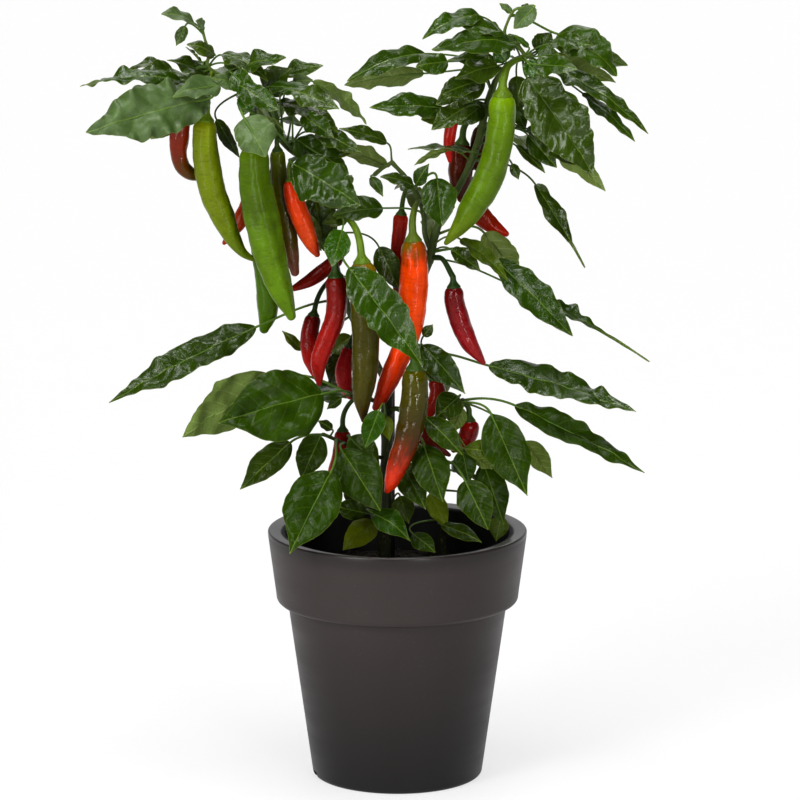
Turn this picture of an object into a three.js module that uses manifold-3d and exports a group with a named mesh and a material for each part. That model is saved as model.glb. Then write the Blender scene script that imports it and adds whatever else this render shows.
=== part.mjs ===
// A potted chilli pepper plant: a round plastic pot with a turned-over rim, potting soil, two woody
// stems with their leafy branches, a thin support stake, and long pods that hang from green caps.
// Millimetres, +Z up, origin at the centre of the pot's foot, viewer on the -Y side.

import * as THREE from "three";
import { mergeVertices } from "three/addons/utils/BufferGeometryUtils.js";
import Module from "manifold-3d";

const wasm = await Module();
wasm.setup();

// Pot
const RIM_RADIUS = 100;
const POT_HEIGHT = 194;
const MOUTH_RADIUS = 87;
const BAND_FOOT_Z = 138;
const BAND_FOOT_RADIUS = 93;
const BAND_WALL = 2.8;
const BAND_ROUNDING = 4.2;
const BAND_LIP_RADIUS = 86.4;
const BODY_TOP_RADIUS = 84.7;
const BODY_FOOT_RADIUS = 66.5;
const BODY_WALL = 2.8;
const FOOT_ROUNDING = 6.5;
const FOOT_RING_WIDTH = 6;
const FOOT_RING_HEIGHT = 5;
const FLOOR_THICKNESS = 3;
const CENTRE_PAD_RADIUS = 22;
const NOTCH_COUNT = 2;
const NOTCH_WIDTH = 9;
const NOTCH_TURN = 0.26;
const DRAIN_HOLE_COUNT = 4;
const DRAIN_HOLE_RADIUS = 5;
const DRAIN_CIRCLE_RADIUS = 38;
const POT_SEGMENTS = 26;

// Soil
const SOIL_TOP_Z = 158;
const SOIL_MOUND = 3;
const HOLE_FLOOR_Z = 108;

// Clearances and blade thickness
const GAP = 0.3;
const BLADE_THICKNESS = 0.8;
const HOLE_GAP = 0.4;

// The eye stands this far in front of the pot's axis and this high above the floor. Places on the
// plant are given as [across, up, depth]: a point of the upright plane through the pot's axis, moved
// along the line of sight by depth, away from the eye if positive.
const EYE_DISTANCE = 3500;
const EYE_HEIGHT = 1001;
const EYE_ACROSS = 2;

// Stems: the node each one belongs to, its radius at both ends, and the points it passes through.
// after names the stem that it grows from.
const STEMS = {
  "trunk": {"node": "main_stem", "after": [], "radius": [5.8, 3.0],
    "points": [[-10.5, 112, 0], [-10.5, 160, 0], [-9, 205, 0], [-8, 262, 0], [-7, 300, 0],
      [4, 345, 4], [16, 382, 8], [24, 402, 6]]},
  "left": {"node": "left_branch", "after": ["trunk"], "radius": [2.8, 2.1],
    "points": [[-6, 303, 1], [-18, 328, 16], [-32, 355, 22], [-44, 385, 22], [-48, 415, 20],
      [-50, 445, 18], [-62, 474, 14], [-82, 490, 10], [-96, 506, 6]]},
  "crown_left": {"node": "left_crown", "after": ["left"], "radius": [2.1, 0.8],
    "points": [[-96, 506, 6], [-112, 526, 2], [-128, 541, -4], [-143, 552, -8], [-142, 562, -8],
      [-145, 572, -8], [-147, 580, -8]]},
  "right": {"node": "right_branch", "after": ["trunk"], "radius": [2.9, 2.3],
    "points": [[24, 402, 6], [30, 428, 2], [42, 451, -2], [54, 475, -4], [62, 497, -2],
      [67, 520, 0], [74, 541, -2]]},
  "crown_right": {"node": "right_crown", "after": ["right"], "radius": [2.3, 1.9],
    "points": [[74, 541, -2], [86, 555, -4], [100, 561, -6]]},
  "top_right": {"node": "right_crown", "after": [], "radius": [1.6, 0.8],
    "points": [[97, 560, -6], [90, 569, -4], [81, 576, -6], [84, 588, -8], [88, 595, -8]]},
  "upper": {"node": "upper_branch", "after": ["trunk", "right"], "radius": [2.2, 1.5],
    "points": [[26, 410, 5], [21, 424, 9], [20, 440, 7], [14, 456, 3], [5, 469, 0], [-4, 479, -2]]},
  "upper_left": {"node": "upper_branch", "after": [], "radius": [1.6, 1.4],
    "points": [[-4, 479, -2], [-11, 475, -4], [-17, 470, -6]]},
  "mid_left": {"node": "mid_left_shoot", "after": ["trunk"], "radius": [1.6, 1.3],
    "points": [[-7, 290, 0], [-19, 295, -6], [-37, 299, -12]]},
  "mid_right": {"node": "mid_right_shoot", "after": ["trunk"], "radius": [1.4, 1.2],
    "points": [[1, 333, 2], [13, 333, 0], [26, 331, -8]]},
  "lower_left": {"node": "lower_left_shoot", "after": ["trunk"], "radius": [1.5, 1.1],
    "points": [[-8, 249, 0], [-20, 252, -8], [-36, 259, -14], [-47, 264, -17], [-56, 268, -20]]},
  "second": {"node": "second_stem", "after": [], "radius": [5.0, 1.5],
    "points": [[36, 112, 12], [36, 160, 12], [34, 200, 8], [31, 240, 2], [32, 272, -2],
      [40, 288, -6], [50, 295, -8]]},
};

// Leaves: stem, place along its points, blade base, blade tip, width, face angle (0 looks at the
// viewer, 90 up, 180 away), tone, and what is special about the blade.
const LEAVES = [
  ["crown_left", 5.9, [-153, 585, -10], [-178, 592, -20], 15, 60, "light", {"arch": 3}],
  ["crown_left", 5.6, [-160, 583, -19], [-167, 568, -22], 9, 0, "mid", {}],
  ["crown_left", 5.8, [-146, 582, -6], [-152, 587, -16], 9, 30, "light", {}],
  ["crown_left", 4.6, [-138, 561, -8], [-159, 569, -18], 14, 35, "dark", {"arch": 3}],
  ["crown_left", 3.4, [-148, 556, -6], [-160, 567, -8], 7, 80, "mid", {}],
  ["crown_left", 2.6, [-146, 536, 12], [-212, 546, 0], 26, 65, "dark", {"arch": 5, "wave": 2}],
  ["crown_left", 2.8, [-163, 541, -8], [-240, 537, -26], 20, 70, "mid",
    {"arch": 6, "twist": 80, "wave": 3}],
  ["crown_left", 2.6, [-168, 546, 28], [-204, 549, 30], 16, 60, "dark", {"arch": 8}],
  ["crown_left", 2.5, [-142, 528, -16], [-236, 502, -56], 42, 22, "light", {"arch": 6, "wave": 2}],
  ["crown_left", 2.2, [-160, 520, 6], [-187, 497, 4], 18, 160, "olive", {}],
  ["crown_left", 2.4, [-134, 538, -20], [-170, 529, -34], 20, 40, "light", {"arch": 4}],
  ["crown_left", 1.5, [-114, 538, -10], [-141, 543, -20], 15, 30, "light", {}],
  ["crown_left", 3, [-133, 561, -6], [-98, 541, -18], 17, 60, "dark", {"arch": 6}],
  ["crown_left", 3, [-131, 555, -2], [-99, 547, -6], 15, 40, "mid", {"arch": 3}],
  ["crown_left", 1.6, [-125, 547, -20], [-107, 530, -30], 17, 15, "mid", {}],
  ["crown_left", 1.2, [-112, 533, -14], [-117, 515, -22], 14, 0, "bright", {}],
  ["crown_left", 1.4, [-137, 512, 14], [-120, 483, 14], 10, 10, "dark", {}],
  ["crown_left", 2.3, [-122, 551, -12], [-84, 559, -24], 17, 45, "mid", {"wave": 2}],
  ["crown_left", 1.9, [-120, 538, -26], [-90, 519, -42], 19, 30, "mid", {"wave": 2}],
  ["crown_left", 2.05, [-142, 547, -6], [-174, 557, -14], 18, 55, "dark", {"wave": 2}],
  ["crown_left", 2.2, [-124, 548, 22], [-152, 530, 78], 28, 88, "mid", {"arch": 10, "wave": 2}],
  ["crown_left", 2.9, [-152, 538, 40], [-190, 522, 74], 24, 75, "dark", {"arch": 9, "wave": 1.5}],
  ["crown_left", 1.2, [-112, 526, 26], [-92, 508, 94], 34, 85, "mid", {"arch": 10, "wave": 2}],

  ["left", 7.5, [-100, 534, 10], [-80, 551, 4], 24, 20, "dark", {"arch": 4}],
  ["left", 7.3, [-97, 537, -2], [-59, 527, -20], 18, 50, "mid", {"arch": 5}],
  ["left", 7.52, [-79, 541, 10], [-64, 542, 6], 13, 10, "light", {"arch": 3}],
  ["left", 7.15, [-64, 541, 6], [-23.5, 508, -22], 14, 150, "mid", {"arch": 6}],
  ["left", 7.4, [-90, 525, 0], [-45, 502, -22], 21, 55, "dark", {"arch": 7}],
  ["left", 7.0, [-58, 512, -10], [-44, 490, -18], 14, 30, "mid", {}],
  ["left", 7.2, [-88, 512, 4], [-70, 507, 0], 9, 60, "light", {}],
  ["left", 6.8, [-116, 513, -52], [-100, 483, -64], 32, 24, "light", {"arch": 3}],
  ["left", 7.45, [-88, 545, 16], [-56, 553, 10], 16, 50, "dark", {}],
  ["left", 7.35, [-80, 534, -26], [-44, 520, -42], 19, 40, "dark", {"wave": 2}],
  ["left", 7.05, [-62, 502, -14], [-28, 487, -26], 16, 45, "dark", {"wave": 2}],
  ["left", 6.9, [-72, 515, -20], [-48, 498, -32], 17, 30, "mid", {}],
  ["left", 6.3, [-66, 479, -10], [-34, 487, -20], 14, 50, "dark", {}],
  ["left", 7.6, [-107, 510, -10], [-85, 501, -14], 11, 120, "olive", {"arch": 5}],
  ["left", 6.6, [-77, 496, -6], [-37, 470, -28], 28, 35, "mid", {"arch": 3, "quilt": 1}],
  ["left", 6.1, [-79, 478, -28], [-28, 446, -58], 36, 20, "mid", {"arch": 4, "wave": 3, "quilt": 1}],
  ["left", 5.6, [-63, 455, 14], [-56, 411, 12], 24, 0, "dark", {}],
  ["left", 5.4, [-72, 440, 4], [-58, 411, -2], 14, 180, "mid", {}],
  ["left", 5, [-38, 438, 12], [-57, 432, 4], 13, 20, "olive", {"wave": 2}],
  ["left", 4.6, [-42, 427, -26], [-50, 399, -38], 18, 5, "bright", {}],
  ["left", 4.45, [-37, 398, -42], [19, 322, -74], 33, 25, "mid", {"arch": 5}],
  ["left", 4.3, [-14, 414, -4], [2, 380, -6], 18, 10, "dark", {}],
  ["left", 1.8, [-35, 345, 14], [-52, 331, 10], 15, 20, "olive", {}],
  ["left", 1.5, [-40, 334, 16], [-52, 306, 14], 20, 0, "dark", {}],
  ["left", 2.6, [-108, 352, -6], [-221, 293, -44], 25, 40, "mid",
    {"arch": 5, "wave": 2, "twist": 20}],
  ["left", 2.2, [-73, 334, 16], [-88, 349, 14], 9, 40, "olive", {}],
  ["left", 7.65, [-86, 496, 34], [-58, 470, 98], 36, 70, "mid", {"arch": 9, "wave": 2}],
  ["left", 6.4, [-58, 474, 44], [-40, 452, 84], 22, 60, "dark", {"arch": 9, "wave": 2}],
  ["left", 3.2, [-46, 394, 38], [-22, 352, 104], 30, 62, "mid", {"arch": 8, "wave": 1.5}],

  ["upper", 2, [-11, 444, -4], [-49, 438, -14], 19, 40, "mid", {"arch": 3}],
  ["upper", 5, [-8, 476, 2], [-53, 494, 6], 17, 150, "olive", {}],
  ["upper_left", 2, [-20, 468, -8], [-11, 453, -14], 8, 30, "mid", {"arch": 3}],
  ["upper", 3.6, [12, 461, -6], [-13, 468, -14], 14, 50, "dark", {"arch": 3}],
  ["upper", 5, [-8, 494, -6], [-44, 505, -14], 12, 40, "dark", {"arch": 3, "wave": 1}],
  ["upper", 3.2, [30, 467, -20], [34, 430, -30], 27, 10, "mid", {}],
  ["upper", 3, [14, 462, -4], [24, 478, -10], 11, 30, "mid", {}],
  ["upper", 4, [4, 458, 24], [22, 434, 86], 26, 66, "mid", {"arch": 9, "wave": 2}],

  ["right", 0.5, [48, 420, -20], [84, 388, -32], 15, 60, "olive", {"arch": 4}],
  ["right", 0.8, [66, 425, 6], [94, 388, 0], 23, 170, "olive", {}],
  ["right", 0.3, [75, 404, -12], [134, 345, -38], 24, 30, "mid", {"arch": 3}],
  ["right", 0.1, [84, 386, -8], [193, 325, -28], 15, 60, "mid",
    {"arch": 4, "twist": 100, "wave": 3}],
  ["right", 0.3, [41, 412, -10], [63, 396, -14], 13, 30, "dark", {"wave": 2}],
  ["right", 3.3, [105, 462, -8], [143, 398, -22], 15, 40, "dark", {"arch": 3, "wave": 3.5}],
  ["right", 3.45, [87, 478, -14], [92, 466, -16], 7, 0, "dark", {}],
  ["right", 3.8, [90, 492, -6], [112, 471, -12], 8, 40, "dark", {"arch": 2}],
  ["right", 4.2, [98, 505, -8], [131, 489, -20], 15, 50, "dark", {"arch": 4}],
  ["right", 4.1, [99, 500, -14], [121, 475, -22], 17, 10, "mid", {}],
  ["right", 4.8, [122, 488, -8], [158, 457, -18], 18, 150, "olive", {"arch": 4}],
  ["right", 5.6, [65, 543, -12], [29, 523, -26], 24, 30, "dark", {}],
  ["right", 5.3, [34, 521, -22], [-21, 521, -42], 20, 35, "mid", {"arch": 3, "wave": 1.5}],
  ["right", 4.8, [38, 513, -18], [18, 512, -22], 13, 30, "olive", {}],
  ["right", 5, [64, 523, -8], [46, 508, -16], 20, 20, "dark", {}],
  ["right", 3.6, [58, 487, -22], [8, 489, -34], 11, 75, "dark", {}],
  ["right", 3.2, [37, 488, -18], [13, 477, -24], 10, 130, "olive", {}],
  ["right", 5.5, [88, 522, 4], [97, 504, 0], 12, 20, "mid", {}],
  ["right", 4.5, [106, 499, -16], [146, 475, -32], 18, 30, "dark", {"wave": 2}],
  ["right", 5.6, [62, 541, -24], [34, 531, -40], 19, 40, "mid", {"wave": 2}],
  ["right", 4.9, [52, 521, -28], [26, 504, -42], 17, 35, "dark", {"wave": 2}],
  ["right", 1.4, [36, 446, 24], [26, 418, 80], 24, 64, "mid", {"arch": 8, "wave": 1.5}],
  ["right", 4.6, [74, 502, 32], [104, 478, 92], 30, 68, "dark", {"arch": 9, "wave": 2}],

  ["top_right", 2, [63, 590, -12], [19, 573, -38], 19, 50, "mid", {"arch": 8}],
  ["top_right", 4, [103, 597, -10], [88, 581, -16], 15, 10, "light", {}],
  ["top_right", 4, [93, 597, -4], [105, 595, 0], 7, 60, "dark", {}],
  ["top_right", 4, [86, 593, -8], [77, 600, -8], 6, 30, "light", {}],
  ["top_right", 2, [76, 580, 2], [69, 587, 4], 5, 30, "mid", {}],
  ["top_right", 0.9, [80, 577, -16], [44, 586, -30], 18, 45, "mid", {"wave": 2}],
  ["top_right", 1.2, [88, 570, -16], [26, 565, -46], 24, 45, "mid", {"arch": 6, "wave": 1.5}],
  ["top_right", 3.4, [121, 577, 4], [166, 545, -14], 29, 45, "mid", {"arch": 9}],
  ["crown_right", 1.3, [82, 556, -16], [74, 569, -18], 15, 20, "bright", {}],
  ["crown_right", 0.8, [76, 556, -6], [38, 557, -16], 14, 45, "mid", {}],
  ["crown_right", 0.6, [38, 556, -10], [14, 552, -22], 17, 30, "mid", {}],
  ["crown_right", 0.5, [21, 562, -2], [-38, 541, -28], 19, 40, "mid", {"arch": 9, "wave": 2}],
  ["crown_right", 0.4, [20, 547, 2], [-40, 538, -12], 19, 150, "mid", {}],
  ["crown_right", 1.9, [106, 555, -6], [190, 501, -36], 16, 60, "mid", {"arch": 9}],
  ["crown_right", 1.75, [108, 556, 6], [165, 540, -4], 22, 150, "olive", {"arch": 4}],
  ["crown_right", 1.6, [98, 544, -20], [149, 470, -56], 42, 25, "dark", {"arch": 6, "quilt": 1}],
  ["crown_right", 1.82, [140, 532, -2], [180, 495, -20], 13, 60, "mid", {"wave": 2, "arch": 3}],
  ["crown_right", 1.65, [106, 563, 4], [116, 578, 8], 18, 10, "dark", {}],
  ["crown_right", 1.5, [106, 560, -10], [122, 562, -16], 16, 20, "mid", {}],
  ["crown_right", 1.5, [90, 566, 2], [84, 577, 6], 12, 10, "dark", {}],
  ["crown_right", 1.7, [99, 567, -12], [88, 576, -18], 5, 30, "bright", {}],
  ["crown_right", 1.4, [90, 545, 12], [92, 518, 12], 16, 10, "olive", {}],
  ["crown_right", 0.9, [76, 553, -22], [44, 543, -40], 20, 35, "dark", {"wave": 2}],
  ["crown_right", 1.7, [114, 569, -4], [148, 568, -12], 18, 45, "mid", {"wave": 2}],
  ["crown_right", 1.6, [104, 554, -30], [136, 550, -48], 18, 35, "mid", {"wave": 2}],
  ["crown_right", 1.9, [130, 566, 10], [174, 553, 6], 19, 40, "dark", {"wave": 2}],
  ["crown_right", 1.3, [97, 556, -14], [113, 540, -24], 15, 20, "bright", {}],
  ["crown_right", 1.2, [82, 562, 28], [54, 556, 98], 30, 84, "mid", {"arch": 10, "wave": 2}],
  ["crown_right", 1.45, [114, 554, 44], [152, 524, 98], 32, 76, "dark", {"arch": 10, "wave": 2}],

  ["mid_left", 1.6, [-57, 300, -44], [-138, 277, -76], 55, 25, "mid", {"arch": 5}],
  ["mid_left", 1.9, [-92, 311, -22], [-165, 266, -50], 42, 160, "light", {"arch": 5}],
  ["mid_left", 1.75, [-43, 297, -14], [-54, 288, -18], 8, 30, "dark", {}],
  ["mid_left", 1, [-32, 300, 32], [-92, 284, 86], 36, 72, "mid", {"arch": 8, "wave": 2}],

  ["mid_right", 1.9, [70, 322, -10], [183, 286, -44], 26, 50, "mid",
    {"arch": 3, "twist": -40, "wave": 2}],
  ["mid_right", 1.8, [19, 338, -12], [52, 300, -26], 22, 25, "mid", {"arch": 4}],
  ["mid_right", 1.4, [20, 345, -14], [27, 354, -18], 8, 20, "dark", {}],
  ["mid_right", 1.6, [20, 319, -16], [46, 309, -22], 13, 40, "mid", {}],
  ["mid_right", 1, [18, 330, 26], [34, 292, 88], 28, 60, "mid", {"arch": 8, "wave": 1.5}],

  ["lower_left", 3.7, [-59, 267, -28], [-74, 233, -42], 23, 15, "dark", {}],
  ["lower_left", 3.9, [-82, 262, -20], [-121, 225, -36], 22, 25, "dark", {"arch": 3}],
  ["lower_left", 3, [-51, 239, -60], [-83, 174, -98], 41, 25, "mid", {"arch": 4}],
  ["lower_left", 2.4, [-43, 256, -34], [-13, 208, -60], 35, 20, "mid", {"arch": 4}],
  ["lower_left", 1.4, [-37, 266, -24], [-13, 241, -32], 22, 20, "dark", {}],
  ["lower_left", 3.5, [-50, 272, -14], [-61, 279, -12], 8, 40, "dark", {}],

  ["trunk", 3.3, [-14, 287, -38], [-25, 258, -44], 17, 10, "bright", {}],
  ["trunk", 3.2, [-10, 284, -8], [-6, 263, -14], 11, 10, "yellow", {}],
  ["trunk", 1.9, [-20, 207, -40], [10, 184, -56], 20, 45, "bright", {"arch": 4}],
  ["trunk", 1.8, [-17, 199, -22], [-42, 177, -44], 21, 35, "yellow", {"arch": 3}],
  ["trunk", 2, [-24, 206, -8], [-50, 212, -14], 17, 20, "dark", {}],
  ["trunk", 2.6, [2, 248, -20], [22, 209, -38], 22, 20, "dark", {"arch": 3}],
  ["trunk", 2, [2, 220, -8], [9, 198, -14], 18, 10, "olive", {}],
  ["trunk", 2.5, [-22, 232, 26], [-30, 200, 78], 26, 60, "mid", {"arch": 8, "wave": 2}],

  ["second", 2.7, [20, 260, -36], [35, 215, -56], 28, 20, "mid", {"arch": 3, "quilt": 1}],
  ["second", 4, [22, 281, -34], [50, 252, -50], 19, 30, "mid", {"arch": 3}],
  ["second", 4.4, [50, 256, -24], [55, 230, -32], 18, 10, "mid", {}],
  ["second", 3.2, [52, 232, -50], [70, 193, -70], 26, 20, "mid", {"quilt": 1}],
  ["second", 3, [66, 246, -20], [82, 197, -32], 25, 15, "mid", {}],
  ["second", 5.6, [72, 284, -30], [100, 220, -58], 34, 15, "mid", {"arch": 3}],
  ["second", 5.8, [98, 263, -6], [119, 234, -8], 18, 165, "olive", {}],
  ["second", 2, [12, 190, -34], [29, 175, -48], 16, 40, "mid", {}],
  ["second", 2.4, [25, 222, -6], [38, 196, -12], 16, 10, "yellow", {}],
  ["second", 2, [34, 197, -12], [65, 183, -30], 14, 50, "dark", {}],
  ["second", 2.6, [80, 204, 6], [76, 184, 0], 15, 20, "olive", {}],
  ["second", 5.2, [47, 298, -20], [29, 281, -32], 22, 15, "dark", {}],
  ["second", 4.8, [52, 257, -36], [81, 252, -40], 16, 40, "olive", {}],
  ["second", 4.6, [60, 251, -30], [73, 241, -30], 13, 160, "olive", {}],
  ["second", 4.9, [50, 289, -20], [42, 270, -26], 13, 170, "olive", {}],
  ["second", 5.9, [90, 291, -14], [190, 238, -48], 23, 55, "mid",
    {"arch": 3, "twist": -40, "wave": 2}],
  ["second", 3.2, [42, 240, 30], [76, 212, 84], 30, 70, "mid", {"arch": 8, "wave": 2}],
  ["second", 5, [34, 284, 24], [14, 250, 74], 26, 60, "dark", {"arch": 8, "wave": 2}],
];

// Pods: name, tone, stem, place along its points, what the stalk passes on its way, and the pod's
// middle line from shoulder to tip as [across, up, depth, radius].
const PODS = [
  ["pod_lime_left", "lime", "crown_left", 2.7, [],
    [[-145, 511, -8, 7.5], [-146, 495, -8, 9.4], [-144, 475, -8, 10.2], [-140, 455, -8, 10],
      [-133, 438, -8, 9], [-126, 422, -8, 6.5], [-118, 410, -8, 3.6], [-109, 404, -8, 1.6]]],
  ["pod_green_ridged", "green", "crown_left", 0.7, [],
    [[-109, 490, -30, 9.5], [-108, 465, -30, 12], [-104, 440, -30, 13.4], [-99, 415, -30, 12.6],
      [-94, 395, -30, 11], [-88, 378, -30, 8.6], [-81, 360, -30, 3.4]]],
  ["pod_green_blunt", "deep_green", "left", 7.7, [],
    [[-106, 476, 8, 6.5], [-105, 450, 8, 9], [-103, 420, 8, 9.4], [-100, 390, 8, 8.8],
      [-99, 365, 8, 8], [-102, 350, 8, 3.6]]],
  ["pod_amber_hook", "amber", "crown_left", 3, [[-151, 551, -8], [-158, 542, -6], [-163, 528, -4]],
    [[-163, 513, -2, 6], [-165, 500, -2, 7.4], [-166, 487, 0, 6.4], [-163, 476, 2, 5.8],
      [-156, 470, 5, 5], [-147, 468, 9, 2.2]]],
  ["pod_red_back_left", "red", "left", 7.8, [],
    [[-110, 466, 35, 5], [-112, 450, 35, 6.4], [-118, 437, 35, 6.2], [-126, 425, 35, 4.4],
      [-132, 417, 35, 1.6]]],
  ["pod_brown", "brown", "left", 7.33, [],
    [[-91, 488, -5, 5], [-90, 470, -5, 6.6], [-88, 450, -5, 7.2], [-84, 430, -5, 6.6],
      [-81, 410, -5, 6], [-78, 394, -5, 3.2]]],
  ["pod_orange_left", "orange", "left", 6.3, [],
    [[-81, 465, -15, 5], [-79, 452, -15, 7.2], [-74, 438, -15, 7.5], [-69, 425, -15, 6.8],
      [-64, 414, -15, 4.8], [-61, 408, -15, 2.2]]],
  ["pod_red_slant", "dark_red", "left", 3.9, [],
    [[-44, 406, 6, 4.8], [-56, 396, 4, 5.6], [-67, 388, 2, 5], [-79, 382, 0, 2.4]]],
  ["pod_red_long", "dark_red", "left", 4, [],
    [[-47, 391, -25, 7.4], [-46, 375, -25, 7.9], [-48, 358, -25, 7.7], [-55, 340, -25, 7.5],
      [-60, 325, -25, 6.6], [-60, 308, -25, 2.2]]],
  ["pod_red_left_low", "dark_red", "left", 3.2, [],
    [[-64, 361, 0, 5.4], [-67, 345, 0, 7], [-66, 328, 0, 6.6], [-61, 311, 0, 2.2]]],
  ["pod_crimson_mid", "crimson", "left", 1.6, [],
    [[-37, 336, 0, 4], [-41, 320, 0, 6.4], [-40, 307, 0, 5.8], [-36, 298, 0, 2.8]]],
  ["pod_olive_long", "olive", "left", 4.7, [],
    [[-27, 402, -30, 8], [-26, 390, -30, 10.4], [-25, 365, -30, 10.5], [-24.5, 340, -30, 10.3],
      [-25, 318, -30, 9.8], [-27, 298, -30, 7.4], [-26, 279, -30, 1.8]]],
  ["pod_orange_long", "orange", "upper", 2.6, [],
    [[12, 419, -15, 8], [13, 400, -15, 10.3], [12, 380, -15, 11], [11, 362, -15, 10.2],
      [8, 345, -15, 9], [1, 328, -15, 8.3], [-6, 312, -15, 7.8], [-12, 298, -15, 5.6],
      [-17, 289, -15, 2.6]]],
  ["pod_olive_red_front", "olive_red", "mid_right", 1.2, [[16, 337, -20]],
    [[13, 319, -48, 8], [13.5, 300, -48, 10.3], [11, 280, -48, 10.5], [6, 260, -48, 9.5],
      [0, 244, -48, 8], [-5, 230, -48, 5.4], [-8, 224, -48, 2.6]]],
  ["pod_crimson_right", "crimson", "right", 0.15, [[34, 405, -2]],
    [[43, 383, -15, 6.3], [44, 370, -15, 7.6], [49, 353, -15, 7.6], [56, 338, -15, 6.3],
      [66, 324, -15, 1.8]]],
  ["pod_lime_right", "lime", "crown_right", 1.6, [[84, 553, -18]],
    [[79.5, 530, -30, 9], [79, 510, -30, 10.3], [76, 490, -30, 10.6], [72, 475, -30, 11],
      [66, 460, -30, 11], [57, 445, -30, 10], [49, 432, -30, 7], [37, 417, -30, 1.8]]],
  ["pod_red_small", "red", "right", 5.1, [],
    [[42, 512, -8, 4.2], [40, 501, -8, 4.6], [39, 490, -8, 3.8], [40, 480, -8, 1.6]]],
  ["pod_maroon", "maroon", "right", 4.7, [],
    [[49, 493, 14, 7], [48, 480, 14, 9], [48, 465, 14, 8.4], [49, 451, 14, 3.6]]],
  ["pod_red_behind", "dark_red", "right", 3.3, [[72, 480, 14], [67, 478, 32]],
    [[53, 466, 34, 6], [57, 450, 32, 8], [64, 438, 30, 7.6], [73, 430, 28, 6], [83, 424, 26, 2.4]]],
  ["pod_brown_small", "brown", "right", 4.9, [],
    [[64, 506, 18, 4.6], [62, 495, 18, 6.4], [62, 480, 18, 6], [65, 468, 18, 2]]],
  ["pod_red_crumpled", "red", "upper", 3.5, [],
    [[3, 439, 12, 5.2], [2, 428, 12, 5.4], [0, 414, 12, 4.8], [1, 396, 12, 4.2],
      [0, 380, 14, 3.4], [-1, 366, 14, 1.6]]],
  ["pod_red_low_left", "red", "mid_left", 1.6, [],
    [[-42, 271, -2, 5.4], [-42, 260, -2, 6.8], [-44, 249, -2, 6.8], [-48, 237, -2, 5.6],
      [-48, 227, -2, 2.4]]],
  ["pod_red_inner", "dark_red", "mid_right", 1.7, [],
    [[28, 311, 2, 4.6], [31, 301, 2, 6.2], [27, 290, 2, 5.4], [24, 281, 2, 2.2]]],
  ["pod_maroon_low", "maroon", "trunk", 3.6, [],
    [[10, 279, -10, 6], [20, 267, -10, 6.4], [30, 258, -12, 4.4], [40, 252, -14, 1.4]]],
  ["pod_red_glossy", "red", "second", 5.75, [],
    [[55, 279, -6, 6], [55, 270, -6, 7.2], [50, 261, -6, 6.2], [43, 256, -6, 2.4]]],
];

// Colours, roughness
const LEAF_GREEN = [0x4f7a33, 0.5];
const STEM_BROWN = [0x6a6a48, 0.7];
const POD_COLOURS = {
  "lime": 0x9db33a, "green": 0x7a9a24, "deep_green": 0x5c7a1c, "amber": 0xb5561c,
  "brown": 0x5a4a1e, "orange": 0xe8560f, "red": 0xc2281c, "dark_red": 0x96201e,
  "crimson": 0xa01220, "maroon": 0x5c1a18, "olive": 0x75703a, "olive_red": 0x8a6a12,
};

// A point of the plant from its place [across, up, depth] as the viewer sees it.
function sight([across, up, depth]) {
  const reach = depth / EYE_DISTANCE;
  return new THREE.Vector3(
    across + (across - EYE_ACROSS) * reach, depth, up + (up - EYE_HEIGHT) * reach);
}

function smoothCurve(points) {
  return new THREE.CatmullRomCurve3(points, false, "catmullrom", 0.5);
}

function stemCurve(name) {
  return smoothCurve(STEMS[name].points.map(sight));
}

function stemPoint(name, place) {
  return stemCurve(name).getPoint(place / (STEMS[name].points.length - 1));
}

function meshOf(positions, faces) {
  const geometry = new THREE.BufferGeometry();
  geometry.setAttribute("position", new THREE.Float32BufferAttribute(positions, 3));
  geometry.setIndex(faces);
  return geometry;
}

// The triangles between two rings of corners that go round the same way.
function skinBetween(lower, upper) {
  return lower.flatMap((corner, i) => {
    const next = (i + 1) % lower.length;
    return [corner, lower[next], upper[next], corner, upper[next], upper[i]];
  });
}

// A closed round bar through points, with its own radius at each point and a flat cap at each end.
function bar(points, radii, sides) {
  const positions = [];
  const side = new THREE.Vector3();
  const rings = points.map((point, ring) => {
    const before = points[Math.max(ring - 1, 0)];
    const after = points[Math.min(ring + 1, points.length - 1)];
    const along = after.clone().sub(before).normalize();
    if (ring === 0) {
      side.set(Math.abs(along.x) < 0.8 ? 1 : 0, Math.abs(along.x) < 0.8 ? 0 : 1, 0);
    }
    side.addScaledVector(along, -side.dot(along)).normalize();
    const other = along.clone().cross(side);
    return Array.from({ length: sides }, (_, corner) => {
      const turn = 2 * Math.PI * corner / sides;
      const place = point.clone()
        .addScaledVector(side, radii[ring] * Math.cos(turn))
        .addScaledVector(other, radii[ring] * Math.sin(turn));
      positions.push(...place.toArray());
      return positions.length / 3 - 1;
    });
  });
  const faces = [];
  for (let ring = 0; ring + 1 < rings.length; ring += 1) {
    faces.push(...skinBetween(rings[ring], rings[ring + 1]));
  }
  const first = rings[0];
  const last = rings[rings.length - 1];
  for (let corner = 1; corner + 1 < sides; corner += 1) {
    faces.push(first[0], first[corner + 1], first[corner], last[0], last[corner], last[corner + 1]);
  }
  return meshOf(positions, faces);
}

// Half width of a blade along its length, 1 at its widest.
const WIDEST = 0.41;
function bladeOutline(t) {
  const rise = 0.68;
  const fall = rise * (1 - WIDEST) / WIDEST;
  return Math.pow(t / WIDEST, rise) * Math.pow((1 - t) / (1 - WIDEST), fall);
}

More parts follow.
